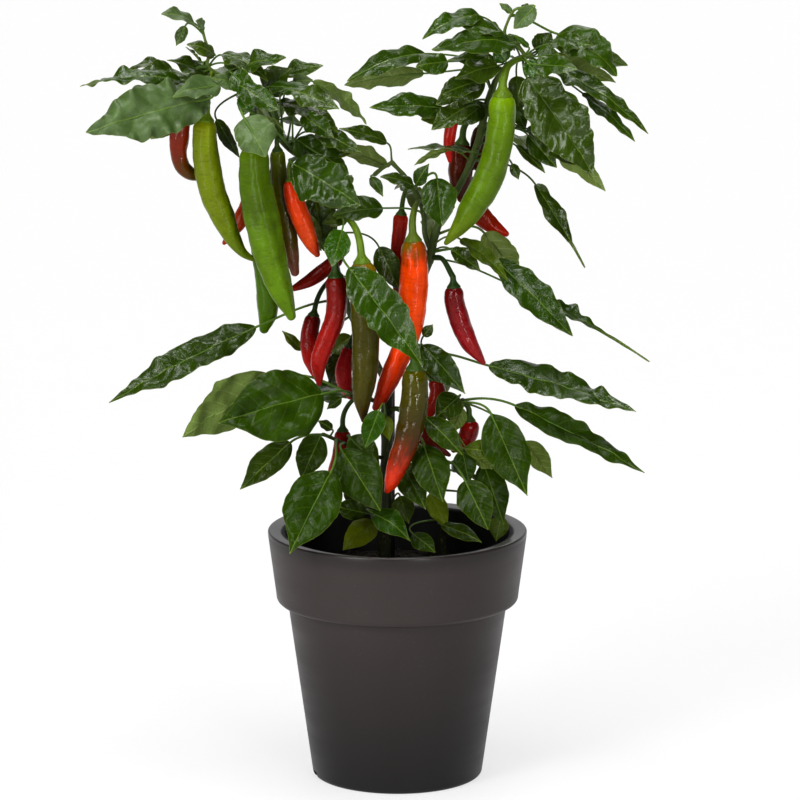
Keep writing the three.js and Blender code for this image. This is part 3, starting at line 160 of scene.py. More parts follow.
# Leaves by stem: place along its points, blade base, blade tip, width, face angle (0 looks at the
# viewer, 90 up, 180 away), tone, and what is special about the blade: how far it bows (arch), how
# many degrees it turns from base to tip (twist), how much its edges wave (wave), and whether it
# puffs up between its veins (quilt). A stem can come twice, because the order of the leaves decides
# their random shapes.
LEAF_GROUPS = [
  ("crown_left", [
    [5.9, [-153, 585, -10], [-178, 592, -20], 15, 60, "light", {"arch": 3}],
    [5.6, [-160, 583, -19], [-167, 568, -22], 9, 0, "mid"],
    [5.8, [-146, 582, -6], [-152, 587, -16], 9, 30, "light"],
    [4.6, [-138, 561, -8], [-159, 569, -18], 14, 35, "dark", {"arch": 3}],
    [3.4, [-148, 556, -6], [-160, 567, -8], 7, 80, "mid"],
    [2.6, [-146, 536, 12], [-212, 546, 0], 26, 65, "dark", {"arch": 5, "wave": 2}],
    [2.8, [-163, 541, -8], [-240, 537, -26], 20, 70, "mid", {"arch": 6, "twist": 80, "wave": 3}],
    [2.6, [-168, 546, 28], [-204, 549, 30], 16, 60, "dark", {"arch": 8}],
    [2.5, [-142, 528, -16], [-236, 502, -56], 42, 22, "light", {"arch": 6, "wave": 2}],
    [2.2, [-160, 520, 6], [-187, 497, 4], 18, 160, "olive"],
    [2.4, [-134, 538, -20], [-170, 529, -34], 20, 40, "light", {"arch": 4}],
    [1.5, [-114, 538, -10], [-141, 543, -20], 15, 30, "light"],
    [3, [-133, 561, -6], [-98, 541, -18], 17, 60, "dark", {"arch": 6}],
    [3, [-131, 555, -2], [-99, 547, -6], 15, 40, "mid", {"arch": 3}],
    [1.6, [-125, 547, -20], [-107, 530, -30], 17, 15, "mid"],
    [1.2, [-112, 533, -14], [-117, 515, -22], 14, 0, "bright"],
    [1.4, [-137, 512, 14], [-120, 483, 14], 10, 10, "dark"],
    [2.3, [-122, 551, -12], [-84, 559, -24], 17, 45, "mid", {"wave": 2}],
    [1.9, [-120, 538, -26], [-90, 519, -42], 19, 30, "mid", {"wave": 2}],
    [2.05, [-142, 547, -6], [-174, 557, -14], 18, 55, "dark", {"wave": 2}],
    [2.2, [-124, 548, 22], [-152, 530, 78], 28, 88, "mid", {"arch": 10, "wave": 2}],
    [2.9, [-152, 538, 40], [-190, 522, 74], 24, 75, "dark", {"arch": 9, "wave": 1.5}],
    [1.2, [-112, 526, 26], [-92, 508, 94], 34, 85, "mid", {"arch": 10, "wave": 2}],
  ]),
  ("left", [
    [7.5, [-100, 534, 10], [-80, 551, 4], 24, 20, "dark", {"arch": 4}],
    [7.3, [-97, 537, -2], [-59, 527, -20], 18, 50, "mid", {"arch": 5}],
    [7.52, [-79, 541, 10], [-64, 542, 6], 13, 10, "light", {"arch": 3}],
    [7.15, [-64, 541, 6], [-23.5, 508, -22], 14, 150, "mid", {"arch": 6}],
    [7.4, [-90, 525, 0], [-45, 502, -22], 21, 55, "dark", {"arch": 7}],
    [7.0, [-58, 512, -10], [-44, 490, -18], 14, 30, "mid"],
    [7.2, [-88, 512, 4], [-70, 507, 0], 9, 60, "light"],
    [6.8, [-116, 513, -52], [-100, 483, -64], 32, 24, "light", {"arch": 3}],
    [7.45, [-88, 545, 16], [-56, 553, 10], 16, 50, "dark"],
    [7.35, [-80, 534, -26], [-44, 520, -42], 19, 40, "dark", {"wave": 2}],
    [7.05, [-62, 502, -14], [-28, 487, -26], 16, 45, "dark", {"wave": 2}],
    [6.9, [-72, 515, -20], [-48, 498, -32], 17, 30, "mid"],
    [6.3, [-66, 479, -10], [-34, 487, -20], 14, 50, "dark"],
    [7.6, [-107, 510, -10], [-85, 501, -14], 11, 120, "olive", {"arch": 5}],
    [6.6, [-77, 496, -6], [-37, 470, -28], 28, 35, "mid", {"arch": 3, "quilt": 1}],
    [6.1, [-79, 478, -28], [-28, 446, -58], 36, 20, "mid", {"arch": 4, "wave": 3, "quilt": 1}],
    [5.6, [-63, 455, 14], [-56, 411, 12], 24, 0, "dark"],
    [5.4, [-72, 440, 4], [-58, 411, -2], 14, 180, "mid"],
    [5, [-38, 438, 12], [-57, 432, 4], 13, 20, "olive", {"wave": 2}],
    [4.6, [-42, 427, -26], [-50, 399, -38], 18, 5, "bright"],
    [4.45, [-37, 398, -42], [19, 322, -74], 33, 25, "mid", {"arch": 5}],
    [4.3, [-14, 414, -4], [2, 380, -6], 18, 10, "dark"],
    [1.8, [-35, 345, 14], [-52, 331, 10], 15, 20, "olive"],
    [1.5, [-40, 334, 16], [-52, 306, 14], 20, 0, "dark"],
    [2.6, [-108, 352, -6], [-221, 293, -44], 25, 40, "mid", {"arch": 5, "wave": 2, "twist": 20}],
    [2.2, [-73, 334, 16], [-88, 349, 14], 9, 40, "olive"],
    [7.65, [-86, 496, 34], [-58, 470, 98], 36, 70, "mid", {"arch": 9, "wave": 2}],
    [6.4, [-58, 474, 44], [-40, 452, 84], 22, 60, "dark", {"arch": 9, "wave": 2}],
    [3.2, [-46, 394, 38], [-22, 352, 104], 30, 62, "mid", {"arch": 8, "wave": 1.5}],
  ]),
  ("upper", [
    [2, [-11, 444, -4], [-49, 438, -14], 19, 40, "mid", {"arch": 3}],
    [5, [-8, 476, 2], [-53, 494, 6], 17, 150, "olive"],
  ]),
  ("upper_left", [
    [2, [-20, 468, -8], [-11, 453, -14], 8, 30, "mid", {"arch": 3}],
  ]),
  ("upper", [
    [3.6, [12, 461, -6], [-13, 468, -14], 14, 50, "dark", {"arch": 3}],
    [5, [-8, 494, -6], [-44, 505, -14], 12, 40, "dark", {"arch": 3, "wave": 1}],
    [3.2, [30, 467, -20], [34, 430, -30], 27, 10, "mid"],
    [3, [14, 462, -4], [24, 478, -10], 11, 30, "mid"],
    [4, [4, 458, 24], [22, 434, 86], 26, 66, "mid", {"arch": 9, "wave": 2}],
  ]),
  ("right", [
    [0.5, [48, 420, -20], [84, 388, -32], 15, 60, "olive", {"arch": 4}],
    [0.8, [66, 425, 6], [94, 388, 0], 23, 170, "olive"],
    [0.3, [75, 404, -12], [134, 345, -38], 24, 30, "mid", {"arch": 3}],
    [0.1, [84, 386, -8], [193, 325, -28], 15, 60, "mid", {"arch": 4, "twist": 100, "wave": 3}],
    [0.3, [41, 412, -10], [63, 396, -14], 13, 30, "dark", {"wave": 2}],
    [3.3, [105, 462, -8], [143, 398, -22], 15, 40, "dark", {"arch": 3, "wave": 3.5}],
    [3.45, [87, 478, -14], [92, 466, -16], 7, 0, "dark"],
    [3.8, [90, 492, -6], [112, 471, -12], 8, 40, "dark", {"arch": 2}],
    [4.2, [98, 505, -8], [131, 489, -20], 15, 50, "dark", {"arch": 4}],
    [4.1, [99, 500, -14], [121, 475, -22], 17, 10, "mid"],
    [4.8, [122, 488, -8], [158, 457, -18], 18, 150, "olive", {"arch": 4}],
    [5.6, [65, 543, -12], [29, 523, -26], 24, 30, "dark"],
    [5.3, [34, 521, -22], [-21, 521, -42], 20, 35, "mid", {"arch": 3, "wave": 1.5}],
    [4.8, [38, 513, -18], [18, 512, -22], 13, 30, "olive"],
    [5, [64, 523, -8], [46, 508, -16], 20, 20, "dark"],
    [3.6, [58, 487, -22], [8, 489, -34], 11, 75, "dark"],
    [3.2, [37, 488, -18], [13, 477, -24], 10, 130, "olive"],
    [5.5, [88, 522, 4], [97, 504, 0], 12, 20, "mid"],
    [4.5, [106, 499, -16], [146, 475, -32], 18, 30, "dark", {"wave": 2}],
    [5.6, [62, 541, -24], [34, 531, -40], 19, 40, "mid", {"wave": 2}],
    [4.9, [52, 521, -28], [26, 504, -42], 17, 35, "dark", {"wave": 2}],
    [1.4, [36, 446, 24], [26, 418, 80], 24, 64, "mid", {"arch": 8, "wave": 1.5}],
    [4.6, [74, 502, 32], [104, 478, 92], 30, 68, "dark", {"arch": 9, "wave": 2}],
  ]),
  ("top_right", [
    [2, [63, 590, -12], [19, 573, -38], 19, 50, "mid", {"arch": 8}],
    [4, [103, 597, -10], [88, 581, -16], 15, 10, "light"],
    [4, [93, 597, -4], [105, 595, 0], 7, 60, "dark"],
    [4, [86, 593, -8], [77, 600, -8], 6, 30, "light"],
    [2, [76, 580, 2], [69, 587, 4], 5, 30, "mid"],
    [0.9, [80, 577, -16], [44, 586, -30], 18, 45, "mid", {"wave": 2}],
    [1.2, [88, 570, -16], [26, 565, -46], 24, 45, "mid", {"arch": 6, "wave": 1.5}],
    [3.4, [121, 577, 4], [166, 545, -14], 29, 45, "mid", {"arch": 9}],
  ]),
  ("crown_right", [
    [1.3, [82, 556, -16], [74, 569, -18], 15, 20, "bright"],
    [0.8, [76, 556, -6], [38, 557, -16], 14, 45, "mid"],
    [0.6, [38, 556, -10], [14, 552, -22], 17, 30, "mid"],
    [0.5, [21, 562, -2], [-38, 541, -28], 19, 40, "mid", {"arch": 9, "wave": 2}],
    [0.4, [20, 547, 2], [-40, 538, -12], 19, 150, "mid"],
    [1.9, [106, 555, -6], [190, 501, -36], 16, 60, "mid", {"arch": 9}],
    [1.75, [108, 556, 6], [165, 540, -4], 22, 150, "olive", {"arch": 4}],
    [1.6, [98, 544, -20], [149, 470, -56], 42, 25, "dark", {"arch": 6, "quilt": 1}],
    [1.82, [140, 532, -2], [180, 495, -20], 13, 60, "mid", {"wave": 2, "arch": 3}],
    [1.65, [106, 563, 4], [116, 578, 8], 18, 10, "dark"],
    [1.5, [106, 560, -10], [122, 562, -16], 16, 20, "mid"],
    [1.5, [90, 566, 2], [84, 577, 6], 12, 10, "dark"],
    [1.7, [99, 567, -12], [88, 576, -18], 5, 30, "bright"],
    [1.4, [90, 545, 12], [92, 518, 12], 16, 10, "olive"],
    [0.9, [76, 553, -22], [44, 543, -40], 20, 35, "dark", {"wave": 2}],
    [1.7, [114, 569, -4], [148, 568, -12], 18, 45, "mid", {"wave": 2}],
    [1.6, [104, 554, -30], [136, 550, -48], 18, 35, "mid", {"wave": 2}],
    [1.9, [130, 566, 10], [174, 553, 6], 19, 40, "dark", {"wave": 2}],
    [1.3, [97, 556, -14], [113, 540, -24], 15, 20, "bright"],
    [1.2, [82, 562, 28], [54, 556, 98], 30, 84, "mid", {"arch": 10, "wave": 2}],
    [1.45, [114, 554, 44], [152, 524, 98], 32, 76, "dark", {"arch": 10, "wave": 2}],
  ]),
  ("mid_left", [
    [1.6, [-57, 300, -44], [-138, 277, -76], 55, 25, "mid", {"arch": 5}],
    [1.9, [-92, 311, -22], [-165, 266, -50], 42, 160, "light", {"arch": 5}],
    [1.75, [-43, 297, -14], [-54, 288, -18], 8, 30, "dark"],
    [1, [-32, 300, 32], [-92, 284, 86], 36, 72, "mid", {"arch": 8, "wave": 2}],
  ]),
  ("mid_right", [
    [1.9, [70, 322, -10], [183, 286, -44], 26, 50, "mid", {"arch": 3, "twist": -40, "wave": 2}],
    [1.8, [19, 338, -12], [52, 300, -26], 22, 25, "mid", {"arch": 4}],
    [1.4, [20, 345, -14], [27, 354, -18], 8, 20, "dark"],
    [1.6, [20, 319, -16], [46, 309, -22], 13, 40, "mid"],
    [1, [18, 330, 26], [34, 292, 88], 28, 60, "mid", {"arch": 8, "wave": 1.5}],
  ]),
  ("lower_left", [
    [3.7, [-59, 267, -28], [-74, 233, -42], 23, 15, "dark"],
    [3.9, [-82, 262, -20], [-121, 225, -36], 22, 25, "dark", {"arch": 3}],
    [3, [-51, 239, -60], [-83, 174, -98], 41, 25, "mid", {"arch": 4}],
    [2.4, [-43, 256, -34], [-13, 208, -60], 35, 20, "mid", {"arch": 4}],
    [1.4, [-37, 266, -24], [-13, 241, -32], 22, 20, "dark"],
    [3.5, [-50, 272, -14], [-61, 279, -12], 8, 40, "dark"],
  ]),
  ("trunk", [
    [3.3, [-14, 287, -38], [-25, 258, -44], 17, 10, "bright"],
    [3.2, [-10, 284, -8], [-6, 263, -14], 11, 10, "yellow"],
    [1.9, [-20, 207, -40], [10, 184, -56], 20, 45, "bright", {"arch": 4}],
    [1.8, [-17, 199, -22], [-42, 177, -44], 21, 35, "yellow", {"arch": 3}],
    [2, [-24, 206, -8], [-50, 212, -14], 17, 20, "dark"],
    [2.6, [2, 248, -20], [22, 209, -38], 22, 20, "dark", {"arch": 3}],
    [2, [2, 220, -8], [9, 198, -14], 18, 10, "olive"],
    [2.5, [-22, 232, 26], [-30, 200, 78], 26, 60, "mid", {"arch": 8, "wave": 2}],
  ]),
  ("second", [
    [2.7, [20, 260, -36], [35, 215, -56], 28, 20, "mid", {"arch": 3, "quilt": 1}],
    [4, [22, 281, -34], [50, 252, -50], 19, 30, "mid", {"arch": 3}],
    [4.4, [50, 256, -24], [55, 230, -32], 18, 10, "mid"],
    [3.2, [52, 232, -50], [70, 193, -70], 26, 20, "mid", {"quilt": 1}],
    [3, [66, 246, -20], [82, 197, -32], 25, 15, "mid"],
    [5.6, [72, 284, -30], [100, 220, -58], 34, 15, "mid", {"arch": 3}],
    [5.8, [98, 263, -6], [119, 234, -8], 18, 165, "olive"],
    [2, [12, 190, -34], [29, 175, -48], 16, 40, "mid"],
    [2.4, [25, 222, -6], [38, 196, -12], 16, 10, "yellow"],
    [2, [34, 197, -12], [65, 183, -30], 14, 50, "dark"],
    [2.6, [80, 204, 6], [76, 184, 0], 15, 20, "olive"],
    [5.2, [47, 298, -20], [29, 281, -32], 22, 15, "dark"],
    [4.8, [52, 257, -36], [81, 252, -40], 16, 40, "olive"],
    [4.6, [60, 251, -30], [73, 241, -30], 13, 160, "olive"],
    [4.9, [50, 289, -20], [42, 270, -26], 13, 170, "olive"],
    [5.9, [90, 291, -14], [190, 238, -48], 23, 55, "mid", {"arch": 3, "twist": -40, "wave": 2}],
    [3.2, [42, 240, 30], [76, 212, 84], 30, 70, "mid", {"arch": 8, "wave": 2}],
    [5, [34, 284, 24], [14, 250, 74], 26, 60, "dark", {"arch": 8, "wave": 2}],
  ]),
]

LEAVES = [(stem, *row) for stem, rows in LEAF_GROUPS for row in rows]

# Pods: name, tone, stem, place along its points, what the stalk passes on its way, and the pod's
# middle line from shoulder to tip as [across, up, depth, radius].
PODS = [
  ["pod_lime_left", "lime", "crown_left", 2.7, [],
    [[-145, 511, -8, 7.5], [-146, 495, -8, 9.4], [-144, 475, -8, 10.2], [-140, 455, -8, 10],
      [-133, 438, -8, 9], [-126, 422, -8, 6.5], [-118, 410, -8, 3.6], [-109, 404, -8, 1.6]]],
  ["pod_green_ridged", "green", "crown_left", 0.7, [],
    [[-109, 490, -30, 9.5], [-108, 465, -30, 12], [-104, 440, -30, 13.4], [-99, 415, -30, 12.6],
      [-94, 395, -30, 11], [-88, 378, -30, 8.6], [-81, 360, -30, 3.4]]],
  ["pod_green_blunt", "deep_green", "left", 7.7, [],
    [[-106, 476, 8, 6.5], [-105, 450, 8, 9], [-103, 420, 8, 9.4], [-100, 390, 8, 8.8],
      [-99, 365, 8, 8], [-102, 350, 8, 3.6]]],
  ["pod_amber_hook", "amber", "crown_left", 3, [[-151, 551, -8], [-158, 542, -6], [-163, 528, -4]],
    [[-163, 513, -2, 6], [-165, 500, -2, 7.4], [-166, 487, 0, 6.4], [-163, 476, 2, 5.8],
      [-156, 470, 5, 5], [-147, 468, 9, 2.2]]],
  ["pod_red_back_left", "red", "left", 7.8, [],
    [[-110, 466, 35, 5], [-112, 450, 35, 6.4], [-118, 437, 35, 6.2], [-126, 425, 35, 4.4],
      [-132, 417, 35, 1.6]]],
  ["pod_brown", "brown", "left", 7.33, [],
    [[-91, 488, -5, 5], [-90, 470, -5, 6.6], [-88, 450, -5, 7.2], [-84, 430, -5, 6.6],
      [-81, 410, -5, 6], [-78, 394, -5, 3.2]]],
  ["pod_orange_left", "orange", "left", 6.3, [],
    [[-81, 465, -15, 5], [-79, 452, -15, 7.2], [-74, 438, -15, 7.5], [-69, 425, -15, 6.8],
      [-64, 414, -15, 4.8], [-61, 408, -15, 2.2]]],
  ["pod_red_slant", "dark_red", "left", 3.9, [],
    [[-44, 406, 6, 4.8], [-56, 396, 4, 5.6], [-67, 388, 2, 5], [-79, 382, 0, 2.4]]],
  ["pod_red_long", "dark_red", "left", 4, [],
    [[-47, 391, -25, 7.4], [-46, 375, -25, 7.9], [-48, 358, -25, 7.7], [-55, 340, -25, 7.5],
      [-60, 325, -25, 6.6], [-60, 308, -25, 2.2]]],
  ["pod_red_left_low", "dark_red", "left", 3.2, [],
    [[-64, 361, 0, 5.4], [-67, 345, 0, 7], [-66, 328, 0, 6.6], [-61, 311, 0, 2.2]]],
  ["pod_crimson_mid", "crimson", "left", 1.6, [],
    [[-37, 336, 0, 4], [-41, 320, 0, 6.4], [-40, 307, 0, 5.8], [-36, 298, 0, 2.8]]],
  ["pod_olive_long", "olive", "left", 4.7, [],
    [[-27, 402, -30, 8], [-26, 390, -30, 10.4], [-25, 365, -30, 10.5], [-24.5, 340, -30, 10.3],
      [-25, 318, -30, 9.8], [-27, 298, -30, 7.4], [-26, 279, -30, 1.8]]],
  ["pod_orange_long", "orange", "upper", 2.6, [],
    [[12, 419, -15, 8], [13, 400, -15, 10.3], [12, 380, -15, 11], [11, 362, -15, 10.2],
      [8, 345, -15, 9], [1, 328, -15, 8.3], [-6, 312, -15, 7.8], [-12, 298, -15, 5.6],
      [-17, 289, -15, 2.6]]],
  ["pod_olive_red_front", "olive_red", "mid_right", 1.2, [[16, 337, -20]],
    [[13, 319, -48, 8], [13.5, 300, -48, 10.3], [11, 280, -48, 10.5], [6, 260, -48, 9.5],
      [0, 244, -48, 8], [-5, 230, -48, 5.4], [-8, 224, -48, 2.6]]],
  ["pod_crimson_right", "crimson", "right", 0.15, [[34, 405, -2]],
    [[43, 383, -15, 6.3], [44, 370, -15, 7.6], [49, 353, -15, 7.6], [56, 338, -15, 6.3],
      [66, 324, -15, 1.8]]],
  ["pod_lime_right", "lime", "crown_right", 1.6, [[84, 553, -18]],
    [[79.5, 530, -30, 9], [79, 510, -30, 10.3], [76, 490, -30, 10.6], [72, 475, -30, 11],
      [66, 460, -30, 11], [57, 445, -30, 10], [49, 432, -30, 7], [37, 417, -30, 1.8]]],
  ["pod_red_small", "red", "right", 5.1, [],
    [[42, 512, -8, 4.2], [40, 501, -8, 4.6], [39, 490, -8, 3.8], [40, 480, -8, 1.6]]],
  ["pod_maroon", "maroon", "right", 4.7, [],
    [[49, 493, 14, 7], [48, 480, 14, 9], [48, 465, 14, 8.4], [49, 451, 14, 3.6]]],
  ["pod_red_behind", "dark_red", "right", 3.3, [[72, 480, 14], [67, 478, 32]],
    [[53, 466, 34, 6], [57, 450, 32, 8], [64, 438, 30, 7.6], [73, 430, 28, 6], [83, 424, 26, 2.4]]],
  ["pod_brown_small", "brown", "right", 4.9, [],
    [[64, 506, 18, 4.6], [62, 495, 18, 6.4], [62, 480, 18, 6], [65, 468, 18, 2]]],
  ["pod_red_crumpled", "red", "upper", 3.5, [],
    [[3, 439, 12, 5.2], [2, 428, 12, 5.4], [0, 414, 12, 4.8], [1, 396, 12, 4.2],
      [0, 380, 14, 3.4], [-1, 366, 14, 1.6]]],
  ["pod_red_low_left", "red", "mid_left", 1.6, [],
    [[-42, 271, -2, 5.4], [-42, 260, -2, 6.8], [-44, 249, -2, 6.8], [-48, 237, -2, 5.6],
      [-48, 227, -2, 2.4]]],
  ["pod_red_inner", "dark_red", "mid_right", 1.7, [],
    [[28, 311, 2, 4.6], [31, 301, 2, 6.2], [27, 290, 2, 5.4], [24, 281, 2, 2.2]]],
  ["pod_maroon_low", "maroon", "trunk", 3.6, [],
    [[10, 279, -10, 6], [20, 267, -10, 6.4], [30, 258, -12, 4.4], [40, 252, -14, 1.4]]],
  ["pod_red_glossy", "red", "second", 5.75, [],
    [[55, 279, -6, 6], [55, 270, -6, 7.2], [50, 261, -6, 6.2], [43, 256, -6, 2.4]]],
]

# Leaf tones: colour of the upper face, how glossy it is, and colour of the stalk
LEAF_TONES = {
    "light": (0x546a3a, 0.20, 0x6c8a3a),
    "mid": (0x304a02, 0.80, 0x5a782a),
    "dark": (0x364b08, 0.95, 0x4a6420),
    "olive": (0x4b6004, 0.45, 0x5a6a28),
    "bright": (0x305800, 0.75, 0x5e8022),
    "yellow": (0x77880a, 0.50, 0x6a7a24),
}

# Nodes whose leaves grow low, in the shade of the crown, and shine less
LOW_NODES = ["main_stem", "second_stem", "mid_left_shoot", "lower_left_shoot"]
LEAF_SHINE = 0.40
LOW_LEAF_SHINE = 0.12

# Leaves low in the plant are flatter, and painted darker as painted shade under the crown: heights,
# and how light or wavy a leaf is there
PAINTED_SHADE_BY_HEIGHT = ([180, 300, 430], [0.64, 0.76, 1.0])
CALM_BY_HEIGHT = ([310, 430], [0.4, 1.0])

# Stems: their colours by height, their sides and the distance of their rings, and by how much and
# how far they swell where leaves and pods grow on them
STEM_TONES = [
    (150, 0x1e200e), (190, 0x2a2e14), (260, 0x38441e), (340, 0x3a4a1f), (430, 0x465a26),
    (500, 0x5a6e30), (560, 0x6c8438),
]
STEM_SIDES = 18
STEM_RING_GAP = 2.5
SWELLING = 0.22
SWELLING_REACH = 4

# Leaf stalks, which run on as a rib below the blade
STALK_SIDES = 8
STALK_RINGS = 14
RIB_RINGS = 16

# Blades: thickness, size of a facet, where a blade is broadest, where the thin tail of a narrow,
# strongly waved one starts, the share of its length by which it bows upwards, and how steeply it
# folds at the midrib
BLADE_THICKNESS = 0.4
BLADE_FACET = 1.3
BROADEST = 0.41
TAIL_START = 0.72
BOW_SHARE = 0.05
FOLD = 0.16

# How steeply the side veins leave the midrib, and how much they bend on towards the edge
VEIN_SLOPE = 0.62
VEIN_BEND = 0.35

# Pod stalks, and their caps: places along the pod and widths, in pod radii, from the stalk to the
# lip and back inside
POD_STALK_POINTS = 30
POD_STALK_RINGS = 22
POD_STALK_RADIUS = 1.4
CAP_HEIGHT = 1.25
CAP_SECTION = [
    [-1.15, 0.36], [-1.0, 0.36], [-0.85, 0.37], [-0.7, 0.41], [-0.52, 0.50], [-0.36, 0.62],
    [-0.24, 0.71], [-0.15, 0.79], [-0.08, 0.83], [-0.01, 0.845], [0.05, 0.835], [0.08, 0.80],
    [0.04, 0.76], [-0.04, 0.70],
]
CAP_SIDES = 30
CAP_TEETH = 5
CAP_GREEN = 0x40591a
CAP_TONES = {
    "lime": 0x6a8418, "olive": 0x66801c, "orange": 0x667820, "dark_red": 0x2c4612,
    "crimson": 0x2a4214,
}

# Pods: the height of the shoulder above the line's first point, in radii, and the ridges round a
# pod and how deep they are, where they show
POD_SIDES = 36
POD_RINGS = 70
POD_LINE_POINTS = 400
POD_SHOULDER = 0.12
PLAIN_RIDGES = (3, 0.018)
POD_RIDGES = {
    "pod_green_ridged": (5, 0.05), "pod_lime_left": (3, 0.02), "pod_red_long": (4, 0.04),
    "pod_red_crumpled": (3, 0.09), "pod_lime_right": (3, 0.015), "pod_green_blunt": (4, 0.03),
}

# How rough a pod's skin is, and its colours from shoulder to tip
POD_COLOURS = {
    "pod_lime_left": (0.36, (0.0, 0x909c10), (0.1, 0x7f8f07), (0.3, 0x6e7d03), (0.7, 0x687903),
                      (1.0, 0x5b7102)),
    "pod_green_ridged": (0.32, (0.0, 0x506a02), (0.3, 0x4b6502), (0.5, 0x577504), (0.8, 0x5e7e08),
                         (1.0, 0x5b7c04)),
    "pod_green_blunt": (0.2, (0.0, 0x3e5902), (0.4, 0x466102), (0.7, 0x466800), (1.0, 0x4c6e00)),
    "pod_amber_hook": (0.1, (0.0, 0x7e2000), (0.4, 0x822600), (0.65, 0x5c3000), (0.85, 0x544000),
                       (1.0, 0x605206)),
    "pod_red_back_left": (0.24, (0.0, 0x952606), (1.0, 0xa93b09)),
    "pod_brown": (0.18, (0.0, 0x5a6a0a), (0.25, 0x525208), (0.75, 0x52440a), (1.0, 0x844e40)),
    "pod_orange_left": (0.22, (0.0, 0xd63706), (0.4, 0xcb400e), (0.8, 0xcb4a16), (1.0, 0xad3712)),
    "pod_red_slant": (0.24, (0.0, 0x691106), (1.0, 0x861509)),
    "pod_red_long": (0.26, (0.0, 0x6e0c03), (0.3, 0x7c0b04), (0.6, 0x91140a), (1.0, 0x98140b)),
    "pod_red_left_low": (0.24, (0.0, 0x5d0804), (0.3, 0x740804), (0.6, 0xa2140c), (1.0, 0xb2160c)),
    "pod_crimson_mid": (0.24, (0.0, 0x981516), (1.0, 0xd02428)),
    "pod_olive_long": (0.24, (0.0, 0x806e07), (0.08, 0x7e5703), (0.2, 0x604c05), (0.35, 0x484607),
                       (0.85, 0x484308), (1.0, 0x3a1e02)),
    "pod_orange_long": (0.2, (0.0, 0x715c0a), (0.06, 0xa44103), (0.14, 0xdc4602), (0.4, 0xf25202),
                        (0.65, 0xe64404), (0.88, 0xbc2e06), (1.0, 0x9c2408)),
    "pod_olive_red_front": (0.12, (0.0, 0x4e4c00), (0.3, 0x443e00), (0.5, 0x443000), (0.64, 0x6c2a02),
                            (0.8, 0xb8300e), (1.0, 0xcc3612)),
    "pod_crimson_right": (0.16, (0.0, 0x600a0c), (0.3, 0x780e13), (0.6, 0x90141b), (1.0, 0x921616)),
    "pod_lime_right": (0.32, (0.0, 0x739504), (0.1, 0x648403), (0.3, 0x587504), (0.7, 0x577406),
                       (1.0, 0x627405)),
    "pod_red_small": (0.22, (0.0, 0xa11809), (1.0, 0xb41c0c)),
    "pod_maroon": (0.22, (0.0, 0x5c1a02), (1.0, 0x491a02)),
    "pod_red_behind": (0.22, (0.0, 0x6c1a04), (0.6, 0x832006), (1.0, 0xb3240b)),
    "pod_brown_small": (0.22, (0.0, 0x3d2903), (1.0, 0x4e1e04)),
    "pod_red_crumpled": (0.3, (0.0, 0x931e04), (0.4, 0xa51606), (1.0, 0x810f05)),
    "pod_red_low_left": (0.24, (0.0, 0x96180a), (1.0, 0xa51c0e)),
    "pod_red_inner": (0.22, (0.0, 0x711407), (1.0, 0x87160a)),
    "pod_maroon_low": (0.22, (0.0, 0x530f04), (1.0, 0x671106)),
    "pod_red_glossy": (0.14, (0.0, 0x8b0d04), (1.0, 0xab1307)),
}

# A pod rougher than SOFT_POD shines less
SOFT_POD = 0.19
POD_SHINE = 0.36
SOFT_POD_SHINE = 0.22

WHITE = 0xffffff
UP = np.array([0, 0, 1])

# Draws for the shades of single leaves, stalks and caps
SHADES = np.random.default_rng(5)


# Tools for points and curves

def colour(code):
    """The linear colour of a screen colour written as a number, such as 0x4f7a33."""
    parts = [(code >> shift & 255) / 255 for shift in (16, 8, 0)]
    linear = [p / 12.92 if p < 0.04045 else ((p + 0.055) / 1.055) ** 2.4 for p in parts]
    return (*linear, 1.0)


def tint_of(code):
    return np.array(colour(code)[:3])


def unit(vector):
    return vector / np.linalg.norm(vector, axis=-1, keepdims=True)


def mixed(a, b, share):
    return a + (b - a) * share


def step(value, low, high):
    """0 up to low, 1 from high on, and straight in between."""
    return np.clip((value - low) / (high - low), 0, 1)


def around(count):
    """Evenly spread angles of a full turn."""
    return np.arange(count) / count * FULL_TURN


def together(*values):
    """Values of one grid as the three numbers of each of its places."""
    return np.stack(np.broadcast_arrays(*values), axis=-1)


def sight(place):
    """A point of the plant from its place [across, up, depth] as the viewer sees it."""
    across, up, depth = place[:3]
    reach = depth / EYE_DISTANCE
    return np.array([across + (across - EYE_ACROSS) * reach, depth, up + (up - EYE_HEIGHT) * reach])


def smooth(points, places):
    """Points of the smooth curve through points, at places counted in points."""
    points = np.asarray(points, float)
    last = len(points) - 1
    padded = np.vstack([2 * points[0] - points[1], points, 2 * points[-1] - points[-2]])
    places = np.clip(np.atleast_1d(places), 0, last)
    start = np.minimum(places.astype(int), last - 1)
    t = (places - start)[:, None]
    a, b, c, d = (padded[start + k] for k in range(4))
    return 0.5 * (2 * b + (c - a) * t + (2 * a - 5 * b + 4 * c - d) * t**2
                  + (3 * b - a - 3 * c + d) * t**3)


def bezier(a, b, c, d, count):
    t = np.linspace(0, 1, count)[:, None]
    return (1 - t)**3 * a + 3 * (1 - t)**2 * t * b + 3 * (1 - t) * t**2 * c + t**3 * d


def arc_lengths(path):
    steps = np.linalg.norm(np.diff(path, axis=0), axis=1)
    return np.concatenate([[0], np.cumsum(steps)])


def rows_at(wanted, places, rows):
    """Rows of numbers that are known at some places, read at the wanted ones."""
    return np.stack([np.interp(wanted, places, column) for column in np.transpose(rows)], axis=1)


def evenly(path, count):
    """The same path with count points at equal distances."""
    lengths = arc_lengths(path)
    return rows_at(np.linspace(0, lengths[-1], count), lengths, path)


